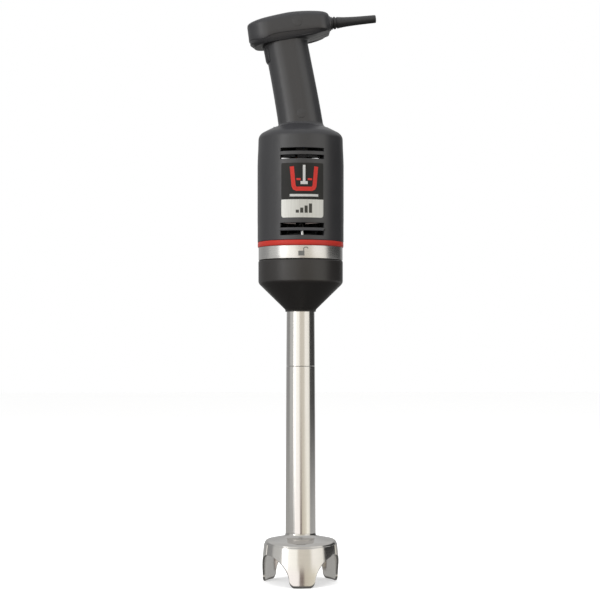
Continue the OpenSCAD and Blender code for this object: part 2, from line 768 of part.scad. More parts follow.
module handle_rear_shell() color([0.33, 0.33, 0.34]) intersection() {
    half(false);
    difference() {
        union() {
            shell_walls();
            intersection() {
                handle_solid();
                union() {
                    for (p = [foot_screw, head_screw]) at_screw(p) disc(4, -head_t, 0);
                    shell_ribs();
                    board_posts_solid();
                }
            }
        }
        for (p = [foot_screw, head_screw]) at_screw(p) disc(1.62, -14, 1);
        pin_bore();
    }
}

module handle_screws() color("gray") for (p = [foot_screw, head_screw]) at_screw(p) {
    disc(1.6, -12, -screw_face);
    difference() {
        disc(3.6, -screw_face, -screw_face + 2.6);
        box(-2.6, 2.6, -0.45, 0.45, -screw_face + 1.4, -screw_face + 3);
        box(-0.45, 0.45, -2.6, 2.6, -screw_face + 1.4, -screw_face + 3);
    }
}

module screw_plugs() color([0.3, 0.3, 0.31]) {
    at_screw(foot_screw) disc(foot_plug_r - 0.04, grip_t / 2 - 4.4, grip_t / 2 - 0.3);
    at_screw(head_screw) disc(head_plug_r - 0.04, head_t / 2 - 4.4, head_t / 2 - 0.3);
}

cord_r = 3.35;

module strain_relief() color([0.16, 0.16, 0.17]) relief_frame() revolve(concat(
    [[cord_r, -12], [6.5, -12], [6.5, -9.5], [8.8, -9.5], [8.8, -6.5], [6.5, -6.5], [6.5, 1.6],
     [5.8, 1.6], [5.8, 2.8], [6.4, 2.8], [6.1, 5], [5.4, 5], [5.4, 6.2], [5.9, 6.2],
     [5.05, 12.5], [4.3, 26], [4.1, 39], [4.05, 45.5]],
    arc([3.9 - 0.35, 46.2], 1.4 * 0.36, 0, 90, 3),
    [[cord_r, 46.8]]));

/* ---------- Inside the handle ---------- */

module trigger() color([0.2, 0.2, 0.21]) difference() {
    grip_frame() union() {
        side_on(-trigger_w / 2, trigger_w / 2) polygon([
            [-grip_w / 2 - 0.2, trigger_low], [-grip_w / 2 - 1.2, trigger_low + 1.2],
            [-grip_w / 2 - 1.5, trigger_low + 3], [-grip_w / 2 - 1.5, trigger_high - 1],
            [-grip_w / 2 + 0.5, trigger_high + 1.6], [pin_u - 2.6, pin_s - 0.6], [pin_u - 1.4, pin_s + 2.2],
            [pin_u + 1.4, pin_s + 2.2], [pin_u + 2.6, pin_s - 0.6], [face_u, trigger_high - 2.5],
            [face_u, trigger_low]]);
        side_on(-6, 6) polygon([[face_u - 2.2, trigger_low + 1], [face_u - 2.2, trigger_low - 2],
            [face_u, trigger_low - 2], [face_u, trigger_low + 1]]);
    }
    grip_frame() side_on(-trigger_w / 2 + 2, trigger_w / 2 - 2) polygon([
        [-grip_w / 2 + 1.2, trigger_low + 3], [-grip_w / 2 + 1.2, trigger_high - 4],
        [-grip_w / 2 + 4, trigger_high - 4], [-grip_w / 2 + 4, trigger_low + 3]]);
    grip_frame() translate([pin_u, 20, pin_s]) rotate([90, 0, 0]) cylinder(r = pin_r + run_fit, h = 40);
}

module trigger_pin() color("silver") grip_frame() translate([pin_u, 17, pin_s]) rotate([90, 0, 0])
    cylinder(r = pin_r, h = 34);

switch_u = -9;
switch_low = 65;
switch_high = 89;
plunger_s = 82;
face_u = -grip_w / 2 + 6;     // inner face of the trigger

module switch_body() color([0.1, 0.1, 0.1]) grip_frame() difference() {
    union() {
        box(switch_u, 6, -7, 7, switch_low, switch_high);
        box(-2, 3, -grip_t / 2 + shell_wall + 0.03, -6, switch_low + 4, switch_low + 12);
        box(-2, 3, 6, grip_t / 2 - shell_wall - 0.03, switch_low + 4, switch_low + 12);
        for (y = [-4, 0, 4]) box(5, 11, y - 0.4, y + 0.4, switch_low + 6, switch_low + 10);
    }
    translate([switch_u - 1, 0, plunger_s]) rotate([0, 90, 0]) cylinder(r = 1.75, h = 6);
}

module switch_plunger() color("ivory") grip_frame() translate([face_u + 0.05, 0, plunger_s]) {
    translate([1.7, 0, 0]) rotate([0, 90, 0]) cylinder(r = 1.7, h = switch_u - face_u + 1.6);
    translate([1.7, 0, 0]) sphere(r = 1.7);
}

module trigger_spring() color("silver") grip_frame()
    translate([face_u + 0.5, 0, trigger_low + 2]) rotate([0, 90, 0])
        coil(2.8, 0.45, (switch_u - face_u - 1) / 3, 6);

block_x = [-24, -13];         // along the head
block_low = -5.7;

module terminal_block() color("ivory") head_frame() difference() {
    box(block_x[0], block_x[1], -17, 3, block_low, 4.6);
    for (y = [-13.5, -7, -0.5]) translate([(block_x[0] + block_x[1]) / 2, y, 0.5]) cylinder(r = 1.9, h = 6);
}

module terminal_screws() color("gray") head_frame() for (y = [-13.5, -7, -0.5])
    translate([(block_x[0] + block_x[1]) / 2, y, 0]) difference() {
        disc(1.85, 0.5, 3.6);
        box(-2, 2, -0.3, 0.3, 2.7, 4);
    }

module suppression_capacitor() color([0.75, 0.6, 0.25]) head_frame()
    box(-31, -12, 8, head_t / 2 - shell_wall - 0.02, 0.3, 12);

module cord_clamp() color([0.2, 0.2, 0.21]) relief_frame() difference() {
    union() {
        box(-5.4, -3.6, -9, 9, -20, -14);
        box(-3.5, 10.05, -9, 9, -20, -14);
    }
    disc(cord_r + 0.1, -21, -13);
    for (y = [-6.5, 6.5]) translate([-6, y, -17]) rotate([0, 90, 0]) cylinder(r = 1.22, h = 12);
}

board_y = 8;
board_t = 1.6;
board_posts = [24, 56];

module circuit_board() color([0.1, 0.35, 0.2]) grip_frame() difference() {
    box(-8, 10, board_y, board_y + board_t, board_posts[0] - 4, board_posts[1] + 4);
    for (z = board_posts) translate([0, board_y + 2, z]) rotate([90, 0, 0]) cylinder(r = 1.3, h = 3);
}

module board_parts() color([0.12, 0.12, 0.12]) grip_frame() {
    box(-7, -4, board_y - 9, board_y, 30, 42);
    translate([4, board_y, 36]) rotate([90, 0, 0]) cylinder(r = 4, h = 9);
    box(-3, 7, board_y - 5, board_y, 44, 50);
}

// Two hold the cord clamp and two the circuit board
module small_screw() {
    translate([0, 0, -1.6]) cylinder(r = 2.6, h = 1.6);
    cylinder(r = 1.2, h = 7);
}

module small_screws() color("gray") {
    relief_frame() for (y = [-6.5, 6.5]) translate([-5.4, y, -17]) rotate([0, 90, 0]) small_screw();
    grip_frame() for (z = board_posts) translate([0, board_y, z]) rotate([-90, 0, 0]) small_screw();
}

module board_posts_solid() grip_frame() for (z = board_posts) translate([0, board_y + board_t, z])
    rotate([-90, 0, 0]) difference() {
        cylinder(r = 2.8, h = grip_t / 2 - board_y - board_t - 1);
        translate([0, 0, -1]) cylinder(r = 1.22, h = 7);
    }

// A point of the grip and of the head in the frame of the whole
function grip_point(u, y, z) = [grip_x + u * cos(grip_lean) - z * sin(grip_lean), y,
    z_neck + u * sin(grip_lean) + z * cos(grip_lean)];
function head_point(u, y, z) = [u * cos(head_tilt) - z * sin(head_tilt), y,
    head_z + u * sin(head_tilt) + z * cos(head_tilt)];

module lead(points, r) {
    for (i = [0:len(points) - 2]) hull() {
        translate(points[i]) sphere(r = r, $fn = 10);
        translate(points[i + 1]) sphere(r = r, $fn = 10);
    }
}

module wiring() color([0.35, 0.22, 0.15]) {
    for (side = [-1, 1]) lead([
        grip_point(11.92, side * 4, switch_low + 8), grip_point(14, side * 4, switch_low + 5),
        grip_point(14, side * 4, 8), [9, side * 12, z_neck - 12],
        [2, side * 24, top_plate + 3.7]], 0.9);
    lead([grip_point(11.92, 0, switch_low + 8), grip_point(14.5, 0, switch_low + 11),
        grip_point(14.5, 0, pin_s - 2), head_point(block_x[1] + 0.92, 0, -2)], 0.9);
}

guard();
shaft_seal();
seal_clip();
blade();
blade_screw();
arm_shaft();
lower_tube();
upper_tube();
shaft_bushes();
arm_collar();
arm_hub();
arm_bearing_outer();
arm_bearing_inner();
coupling_seal();
bayonet_ring();
ring_screws();
lock_band();
bayonet_socket();
trim_ring();
lower_bracket();
lower_bearing_outer();
lower_bearing_inner();
casing_screws();
stator_core();
field_coils();
motor_bolts();
upper_bracket();
upper_bearing_outer();
upper_bearing_inner();
brush_holders();
carbon_brushes();
brush_springs();
motor_shaft();
rotor_core();
rotor_winding();
commutator();
cooling_fan();
drive_dog();
driven_dog();
motor_casing();
label_plate();
rating_badge();
handle_front_shell();
handle_rear_shell();
handle_screws();
screw_plugs();
strain_relief();
trigger();
trigger_pin();
switch_body();
switch_plunger();
trigger_spring();
terminal_block();
circuit_board();
terminal_screws();
suppression_capacitor();
cord_clamp();
board_parts();
wiring();
small_screws();
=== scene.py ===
import bmesh
import bpy
import numpy as np
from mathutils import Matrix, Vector


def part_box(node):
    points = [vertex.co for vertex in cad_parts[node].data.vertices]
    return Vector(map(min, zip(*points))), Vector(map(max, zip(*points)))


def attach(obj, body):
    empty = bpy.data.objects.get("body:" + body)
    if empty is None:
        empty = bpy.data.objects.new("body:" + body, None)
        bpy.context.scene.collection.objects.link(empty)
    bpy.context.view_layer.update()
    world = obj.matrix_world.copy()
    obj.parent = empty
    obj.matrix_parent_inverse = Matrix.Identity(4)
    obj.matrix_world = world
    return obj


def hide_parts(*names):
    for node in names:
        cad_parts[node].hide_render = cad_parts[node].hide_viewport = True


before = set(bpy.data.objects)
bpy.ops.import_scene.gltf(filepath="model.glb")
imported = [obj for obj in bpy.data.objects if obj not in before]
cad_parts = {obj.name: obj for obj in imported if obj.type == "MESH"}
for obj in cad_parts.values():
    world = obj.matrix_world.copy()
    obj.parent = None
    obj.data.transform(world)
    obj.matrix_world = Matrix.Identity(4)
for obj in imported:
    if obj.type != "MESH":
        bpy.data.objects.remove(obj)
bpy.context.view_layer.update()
scene = bpy.context.scene

# ---------------------------------------------------------------------------
# Studio: a white floor, three soft boxes and a camera a little below the middle of the tool. The
# walls of the room are only light, so the steel has something plain to mirror.

CAMERA_FAR = 1.492       # from the spindle axis to the lens
CAMERA_HIGH = 0.2443
CAMERA_TURN = np.radians(2.5)
FLOOR_HALF = 6000

camera = bpy.data.objects.new("camera", bpy.data.cameras.new("camera"))
scene.collection.objects.link(camera)
camera.data.lens = 87
camera.data.sensor_width = 36
camera.data.shift_y = 0.075
camera.data.shift_x = -0.001
camera.location = (-CAMERA_FAR * np.sin(CAMERA_TURN), -CAMERA_FAR * np.cos(CAMERA_TURN), CAMERA_HIGH)
camera.rotation_euler = (np.pi / 2, 0, -CAMERA_TURN)
scene.camera = camera
scene.view_settings.view_transform = "Standard"


SHARP_ANGLE = 38         # edges that turn more than this many degrees stay crisp


def node_maker(tree):
    """A function that adds a node to the tree; an input is a value or the socket that feeds it."""

    def node(kind, inputs=(), **settings):
        made = tree.nodes.new(kind)
        for key, value in settings.items():
            setattr(made, key, value)
        for key, value in dict(inputs).items():
            if isinstance(value, bpy.types.NodeSocket):
                tree.links.new(value, made.inputs[key])
            else:
                made.inputs[key].default_value = value
        return made

    return node


def new_material(name):
    """An empty node material; gives its tree, its Principled shader and a maker of linked nodes."""
    material = bpy.data.materials.new(name)
    material.use_nodes = True
    tree = material.node_tree
    return material, tree, tree.nodes["Principled BSDF"], node_maker(tree)


def build(name, points, faces, material):
    """Makes a mesh object from points in millimetres, merges its seams, turns its faces outwards."""
    mesh = bpy.data.meshes.new(name)
    mesh.from_pydata((np.asarray(points, float) * 0.001).tolist(), [], [list(f) for f in faces])
    work = bmesh.new()
    work.from_mesh(mesh)
    bmesh.ops.remove_doubles(work, verts=work.verts, dist=2e-6)
    bmesh.ops.dissolve_degenerate(work, edges=work.edges, dist=1e-6)
    bmesh.ops.recalc_face_normals(work, faces=work.faces)
    work.to_mesh(mesh)
    work.free()
    mesh.shade_smooth()
    mesh.set_sharp_from_angle(angle=np.radians(SHARP_ANGLE))
    made = bpy.data.objects.new(name, mesh)
    scene.collection.objects.link(made)
    mesh.materials.append(material)
    return made


def fit(made, body, slot, *nodes):
    """Rides the piece on its body and hides the CAD nodes it stands for; its slot is not used."""
    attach(made, body)
    if nodes:
        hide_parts(*nodes)


def quads(rows, cols, wrap_cols=False, wrap_rows=False):
    """Corner numbers of a grid of rows x cols points counted row by row."""
    r = np.arange(rows if wrap_rows else rows - 1)[:, None]
    c = np.arange(cols if wrap_cols else cols - 1)[None, :]
    up, over = (r + 1) % rows, (c + 1) % cols
    return np.stack(np.broadcast_arrays(r * cols + c, r * cols + over, up * cols + over, up * cols + c), -1)


floor_mat, tree, shader, node = new_material("floor_paper")
wash = node("ShaderNodeTexNoise", {"Scale": 3.0, "Detail": 2.0})
tone = node("ShaderNodeMapRange", {0: wash.outputs["Fac"], 3: 0.86, 4: 0.9})
tree.links.new(tone.outputs[0], shader.inputs["Base Color"])
shader.inputs["Roughness"].default_value = 0.9
shader.inputs["Specular IOR Level"].default_value = 0.1
shader.inputs["Emission Color"].default_value = (1, 1, 1, 1)
shader.inputs["Emission Strength"].default_value = 0.5
side = np.linspace(-FLOOR_HALF, FLOOR_HALF, 5)
floor = build("floor", np.stack([*np.meshgrid(side, side), np.zeros((5, 5))], -1).reshape(-1, 3),
              quads(5, 5).reshape(-1, 4), floor_mat)
floor.visible_glossy = False
floor.visible_diffuse = False

# The light of the room by compass bearing: each stop is a share of a turn from the rear and a
# brightness, once for the walls and once for the low part that the foot of the tool mirrors.
world = bpy.data.worlds.new("studio")
scene.world = world
world.use_nodes = True
sky = world.node_tree
sky.nodes.clear()
sky_node = node_maker(sky)

ROOM_PEAK = 2.6          # brightness that full white on a ramp stands for
ROOM = [(0.00, (0.45, 0.45, 0.45)), (0.09, (0.40, 0.40, 0.40)), (0.14, (0.30, 0.30, 0.30)),
        (0.21, (0.32, 0.32, 0.32)), (0.245, (0.58, 0.58, 0.57)), (0.325, (0.62, 0.62, 0.61)),
        (0.34, (2.50, 2.48, 2.46)), (0.37, (2.30, 2.28, 2.24)), (0.39, (1.28, 1.26, 1.20)),
        (0.455, (1.20, 1.18, 1.11)), (0.48, (0.76, 0.71, 0.63)), (0.565, (0.74, 0.70, 0.62)),
        (0.60, (1.12, 1.09, 1.04)), (0.69, (1.02, 1.00, 0.94)), (0.717, (0.045, 0.045, 0.045)),
        (0.87, (0.05, 0.05, 0.05)), (0.92, (0.36, 0.36, 0.36)), (1.00, (0.45, 0.45, 0.45))]
LOW_ROOM = [(0.00, (0.46, 0.46, 0.45)), (0.12, (0.42, 0.42, 0.41)), (0.355, (0.46, 0.455, 0.45)),
            (0.375, (1.22, 1.17, 1.16)), (0.478, (1.22, 1.16, 1.14)), (0.489, (0.24, 0.19, 0.17)),
            (0.516, (0.24, 0.19, 0.17)), (0.53, (0.70, 0.64, 0.54)), (0.60, (0.80, 0.75, 0.63)),
            (0.645, (1.12, 1.09, 0.98)), (0.69, (1.02, 0.99, 0.90)), (0.72, (0.46, 0.46, 0.46)),
            (1.00, (0.46, 0.46, 0.45))]
bearing = sky_node("ShaderNodeTexCoord")
parts = sky_node("ShaderNodeSeparateXYZ", {0: bearing.outputs["Generated"]})
front = sky_node("ShaderNodeMath", {0: parts.outputs["Y"], 1: -1.0}, operation="MULTIPLY")
turn = sky_node("ShaderNodeMath", {0: parts.outputs["X"], 1: front.outputs[0]}, operation="ARCTAN2")
share = sky_node("ShaderNodeMapRange", {0: turn.outputs[0], 1: -np.pi, 2: np.pi, 3: 0.0, 4: 1.0})
ramps = []
for stops in (ROOM, LOW_ROOM):
    ramp = sky_node("ShaderNodeValToRGB", {0: share.outputs[0]})
    ramp.color_ramp.interpolation = "EASE"
    for place, colour in stops[1:-1]:
        ramp.color_ramp.elements.new(place)
    for stop, (place, colour) in zip(ramp.color_ramp.elements, stops):
        stop.position, stop.color = place, (*[c / ROOM_PEAK for c in colour], 1)
    ramps.append(ramp)
level = sky_node("ShaderNodeMapRange", {0: parts.outputs["Z"], 1: -0.05, 2: -0.1})
around = sky_node("ShaderNodeMix", {0: level.outputs[0], 6: ramps[0].outputs[0], 7: ramps[1].outputs[0]},
                  data_type="RGBA")
ray = sky_node("ShaderNodeLightPath")
wall_power = sky_node("ShaderNodeMapRange",
                      {0: ray.outputs["Is Diffuse Ray"], 3: ROOM_PEAK, 4: ROOM_PEAK * 0.5})
walls = sky_node("ShaderNodeBackground", {"Color": around.outputs[2], "Strength": wall_power.outputs[0]})
ceiling = sky_node("ShaderNodeBackground", {"Color": (1, 1, 1, 1), "Strength": 0.55})
ground = sky_node("ShaderNodeBackground", {"Color": (1, 0.99, 0.97, 1), "Strength": 0.12})
rise = sky_node("ShaderNodeMapRange", {0: parts.outputs["Z"], 1: 0.28, 2: 0.45})
sink = sky_node("ShaderNodeMapRange", {0: parts.outputs["Z"], 1: -0.22, 2: -0.34})
upper = sky_node("ShaderNodeMixShader", {0: rise.outputs[0], 1: walls.outputs[0], 2: ceiling.outputs[0]})
room = sky_node("ShaderNodeMixShader", {0: sink.outputs[0], 1: upper.outputs[0], 2: ground.outputs[0]})
paper = sky_node("ShaderNodeBackground", {"Color": (1, 1, 1, 1), "Strength": 1.0})
seen = sky_node("ShaderNodeMixShader",
                {0: ray.outputs["Is Camera Ray"], 1: room.outputs[0], 2: paper.outputs[0]})
sky_node("ShaderNodeOutputWorld", {0: seen.outputs[0]})


def soft_box(name, place, aim, size, power):
    """A square area light at place that looks at aim, in metres."""
    made = bpy.data.objects.new(name, bpy.data.lights.new(name, "AREA"))
    scene.collection.objects.link(made)
    made.data.shape = "RECTANGLE"
    made.data.size, made.data.size_y = size
    made.data.energy = power
    made.location = place
    made.rotation_euler = (Vector(aim) - Vector(place)).to_track_quat("-Z", "Y").to_euler()
    made.visible_glossy = False


soft_box("box_left", (-1.3, -1.0, 1.2), (0, 0, 0.35), (0.5, 1.4), 11)
soft_box("box_top", (0.1, -0.25, 1.9), (0, 0, 0.3), (1.4, 1.0), 14)
soft_box("box_right", (1.7, -0.9, 0.9), (0, 0, 0.3), (0.7, 1.4), 3)


def box(node):
    """Lowest and highest corner of a CAD node in millimetres."""
    low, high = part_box(node)
    return np.array(low) * 1000, np.array(high) * 1000


# ---------------------------------------------------------------------------
# Guard: a bell pressed from 1.7 mm stainless sheet with three lobes to stand on and three windows.
# Each lobe has a raised panel. The hub for the lower bush is welded inside and the bell is polished.

GUARD_WALL = 1.7
PANEL_STEP = 0.5         # how far each lobe's panel stands out
PANEL_HALF = 52.0        # degrees from a panel's middle to its edge
SHOULDER_R = 4.0
FOOT_FILLET = 3.9
HUB_R = 12.6
guard_r = box("guard")[1][1]
guard_top = box("lower_tube")[0][2]
panel_z = guard_top - 10.8
window_r, lobe_corner = guard_r * 0.656, guard_r * 0.17
window_z = guard_top - 20.3 - window_r
foot_tube_r = 15.5


def metal(name, colour, rough, streak=(1, 1, 1), scale=60.0, wear=0.08, bump=0.02, tint=0.06):
    """Bare metal: noise stretched by streak gives the polishing lines and shifts the colour by tint,
    and slow clouds over it shift the roughness by wear."""
    material, tree, shader, node = new_material(name)
    place = node("ShaderNodeTexCoord").outputs["Object"]
    stretched = node("ShaderNodeMapping", {"Vector": place, "Scale": streak}).outputs[0]
    lines = node("ShaderNodeTexNoise",
                 {"Vector": stretched, "Scale": scale, "Detail": 6.0, "Roughness": 0.62})
    cloud = node("ShaderNodeTexNoise", {"Vector": place, "Scale": 22.0, "Detail": 3.0})
    both = node("ShaderNodeMath", {0: lines.outputs["Fac"], 1: cloud.outputs["Fac"]},
                operation="MULTIPLY")
    dark = tuple(c * (1 - tint) for c in colour)
    shade = node("ShaderNodeMapRange", {0: lines.outputs["Fac"], 1: 0.3, 2: 0.7}).outputs[0]
    mix = node("ShaderNodeMix", {0: shade, 6: (*dark, 1), 7: (*colour, 1)}, data_type="RGBA")
    worn = node("ShaderNodeMapRange",
                {0: both.outputs[0], 1: 0.1, 2: 0.45, 3: rough - wear / 2, 4: rough + wear})
    relief = node("ShaderNodeBump",
                  {"Height": lines.outputs["Fac"], "Strength": bump, "Distance": 0.0004})
    tree.links.new(mix.outputs[2], shader.inputs["Base Color"])
    tree.links.new(worn.outputs[0], shader.inputs["Roughness"])
    tree.links.new(relief.outputs[0], shader.inputs["Normal"])
    shader.inputs["Metallic"].default_value = 1.0
    return material


polished = metal("polished_stainless", (0.79, 0.77, 0.74), 0.13, streak=(1, 1, 34), scale=46, wear=0.07,
                 bump=0.03)


def bezier(a, b, c, steps):
    """Quadratic curve from a to c that leans towards b, as steps points; works on arrays of points."""
    t = np.linspace(0, 1, steps).reshape((-1,) + (1,) * np.ndim(a))
    return (1 - t) ** 2 * a + 2 * t * (1 - t) * b + t ** 2 * c


def rounded(corners, steps=5):
    """A profile from (r, z, radius) corners: each corner is replaced with a curve that starts and ends
    radius away from it, or half of the shorter side."""
    p = np.array([c[:2] for c in corners], float)
    q = np.array([c[2] for c in corners], float)
    before, after = np.roll(p, 1, 0) - p, np.roll(p, -1, 0) - p
    reach_b, reach_a = np.linalg.norm(before, axis=1), np.linalg.norm(after, axis=1)
    cut = np.minimum(q, np.minimum(reach_b, reach_a) * 0.48)
    start = p + before / reach_b[:, None] * cut[:, None]
    end = p + after / reach_a[:, None] * cut[:, None]
    curve = bezier(start, p, end, steps)
    keep = [curve[:, i] if q[i] > 0 else p[i:i + 1] for i in range(len(p))]
    return np.concatenate(keep)


def turned(profile, around=144, ring=True):
    """Points and faces of a profile of (r, z) turned about the Z axis, a closed ring or a line from
    pole to pole."""
    a = np.linspace(0, 2 * np.pi, around, endpoint=False)
    r, z = np.asarray(profile, float).T
    r, z = r[:, None], z[:, None]
    grid = np.stack(np.broadcast_arrays(r * np.cos(a), r * np.sin(a), z), -1)
    return grid.reshape(-1, 3), quads(len(z), around, ring, True).reshape(-1, 4)


def joined(*shells):
    """Several (points, faces) shells as one."""
    points, faces, count = [], [], 0
    for p, f in shells:
        points.append(p)
        faces.append(np.asarray(f) + count)
        count += len(p)
    return np.concatenate(points), [face for f in faces for face in f.tolist()]


def bell():
    """The bell: columns are bearings, spaced evenly along the curve of the lower edge; rows climb from
    that edge to the panel's top, over the shoulder and up to the tube. An inner copy and a half-round
    lip close it."""
    outline = np.polynomial.Polynomial.fit(
        np.array([0, 0.3, 0.57, 0.78, 0.89, 1]) * panel_z, guard_r - np.array([0, 0, 0.4, 1.1, 1.5, 2.1]), 4)

    def radius(z):
        return np.minimum(outline(z), guard_r)

    panel_edge = np.radians(60 - PANEL_HALF + np.array([-0.25, 0.25]))
    notch = np.arcsin(radius(30.0) * np.sin(panel_edge) / window_r)
    lean = np.sort(np.concatenate([np.linspace(0, np.pi / 2, 34), notch]))[::-1]
    window_h = window_z + window_r * np.cos(lean)
    window_a = np.pi / 3 - np.arcsin(window_r * np.sin(lean) / radius(window_h))
    lobe_half = radius(window_h[0]) * np.sin(window_a[0])
    flat = lobe_half - lobe_corner
    swing = np.linspace(0, np.pi / 2, 10)
    side_h = np.linspace(lobe_corner, window_z, 4)[1:-1]
    lobe_x = np.concatenate([np.linspace(0, flat, 6)[:-1], flat + lobe_corner * np.sin(swing),
                             np.full(len(side_h), lobe_half)])
    lobe_h = np.concatenate([np.zeros(5), lobe_corner * (1 - np.cos(swing)), side_h])
    lobe_a = np.arcsin(lobe_x / radius(lobe_h))
    half_a, half_h = np.concatenate([lobe_a, window_a]), np.concatenate([lobe_h, window_h])
    third_a = np.concatenate([-half_a[:0:-1], half_a[:-1]])
    third_h = np.concatenate([half_h[:0:-1], half_h[:-1]])
    angle = np.concatenate([third_a + np.radians(c) for c in (-90, 30, 150)])
    edge = np.maximum(np.tile(third_h, 3), 0.45)
    panel = (np.abs(np.tile(third_a, 3)) < np.radians(PANEL_HALF)).astype(float)

    climb = np.linspace(0, 1, 16)[:, None] * (panel_z - 0.3 - edge) + edge
    wall = radius(climb) - PANEL_STEP * (1 - panel)
    ledge = radius(panel_z)
    shoulder = ledge - PANEL_STEP
    curve = np.radians(np.linspace(12, 76, 8))
    crest = np.stack([shoulder + SHOULDER_R * (np.cos(curve) - 1), panel_z + SHOULDER_R * np.sin(curve)], -1)
    neck = np.radians(np.linspace(255, 180, 10))
    fillet = np.stack([foot_tube_r + FOOT_FILLET * (1 + np.cos(neck)),
                       guard_top + FOOT_FILLET * np.sin(neck)], -1)
    slope = bezier(crest[-1], np.array([shoulder * 0.7, panel_z + 5.6]), fillet[0], 9)[1:-1]
    upper = np.concatenate([crest, slope, fillet])
    lip = np.stack([np.where(panel > 0, ledge - 0.14, shoulder),
                    np.where(panel > 0, shoulder + 0.1, shoulder)])
    r = np.concatenate([wall, lip, np.repeat(upper[:, :1], len(angle), 1)])
    z = np.concatenate([climb, np.full((1, len(angle)), panel_z), np.full((1, len(angle)), panel_z + 0.12),
                        np.repeat(upper[:, 1:], len(angle), 1)])
    outer = np.stack([r * np.cos(angle), r * np.sin(angle), z], -1)

    low_in = radius(climb) - PANEL_STEP - GUARD_WALL
    along = np.gradient(upper, axis=0)
    along /= np.linalg.norm(along, axis=1, keepdims=True)
    under = upper + GUARD_WALL * np.stack([-np.abs(along[:, 1]), -np.abs(along[:, 0])], -1)
    under[:, 0] = np.maximum(under[:, 0], HUB_R - 0.2)
    join_r = np.full((2, len(angle)), shoulder - GUARD_WALL)
    r_in = np.concatenate([low_in, join_r, np.repeat(under[:, :1], len(angle), 1)])
    z_in = np.concatenate([climb, np.full((2, len(angle)), panel_z - 0.1),
                           np.repeat(under[:, 1:], len(angle), 1)])
    inner = np.stack([r_in * np.cos(angle), r_in * np.sin(angle), z_in], -1)

    middle, arm = (outer[0] + inner[0]) / 2, (outer[0] - inner[0]) / 2
    tangent = np.roll(middle, -1, 0) - np.roll(middle, 1, 0)
    out = np.cross(tangent, arm)
    out /= np.linalg.norm(out, axis=1, keepdims=True)
    out *= np.where(out[:, 2:] > 0.0, -1, 1)
    bend = np.radians(np.linspace(180, 0, 7))[1:-1, None, None]
    lip_rows = middle + arm * np.cos(bend) + out * 0.42 * np.sin(bend)
    loop = np.concatenate([outer, inner[::-1], lip_rows])
    return loop.reshape(-1, 3), quads(len(loop), len(angle), True, True).reshape(-1, 4)


hub_low, hub_high = guard_top - 17.8, guard_top + 9
hub = turned(rounded([(HUB_R - 2.8, hub_low, 0.3), (HUB_R, hub_low, 0.6), (HUB_R, hub_high, 0.4),
                      (HUB_R - 7, hub_high, 0.3), (HUB_R - 7, hub_high - 3, 0), (HUB_R - 5, hub_high - 3, 0),
                      (HUB_R - 5, hub_low + 7.6, 0), (HUB_R - 2.8, hub_low + 7.6, 0)]), 96)
fit(build("guard_bell", *joined(bell(), hub), polished), "arm", "polished_steel", "guard")

# ---------------------------------------------------------------------------
# Shaft tube: two lengths of drawn stainless tube with a tight seam between them, welded to the bell
# and pressed into the collar. It tapers a little towards the top and is polished round its girth.

tube_low, tube_high = box("lower_tube"), box("upper_tube")
seam_z = tube_low[1][2]
seam_r, top_r, bore_r = 14.7, 14.3, 12.85
SEAM_GAP = 0.14          # each tube stops this far from the seam's middle
collar_z = box("arm_collar")[0][2]
tube_steel = metal("drawn_tube", (0.80, 0.78, 0.75), 0.15, streak=(1, 1, 60), scale=60, wear=0.06, bump=0.025)


def held(low_r, low_z, high_r, high_z):
    """Two more corners near both ends of a long straight side, which keep its shading straight."""
    return [(low_r + (high_r - low_r) * t, low_z + (high_z - low_z) * t, 0) for t in (0.01, 0.99)]


lower_end, upper_end = seam_z - SEAM_GAP, seam_z + SEAM_GAP
lower = rounded([(bore_r, guard_top, 0), (foot_tube_r, guard_top, 0.3),
                 *held(foot_tube_r, guard_top, seam_r, lower_end), (seam_r, lower_end, 0.22),
                 (bore_r, lower_end, 0)])
fit(build("lower_tube_skin", *turned(lower), tube_steel), "arm", "polished_steel", "lower_tube")
upper = rounded([(bore_r, upper_end, 0), (seam_r - 0.05, upper_end, 0.22),
                 *held(seam_r - 0.05, upper_end, top_r, collar_z), (top_r, collar_z, 0),
                 (top_r, tube_high[1][2], 0.4), (bore_r, tube_high[1][2], 0)])
fit(build("upper_tube_skin", *turned(upper), tube_steel), "arm", "polished_steel", "upper_tube")

# ---------------------------------------------------------------------------
# Collar: a black glass-filled nylon funnel moulded in one piece, satin with a fine spark-eroded grain.
# It turns by hand with the arm and hides the bayonet.

collar_high = box("arm_collar")[1]
collar_r = collar_high[0]


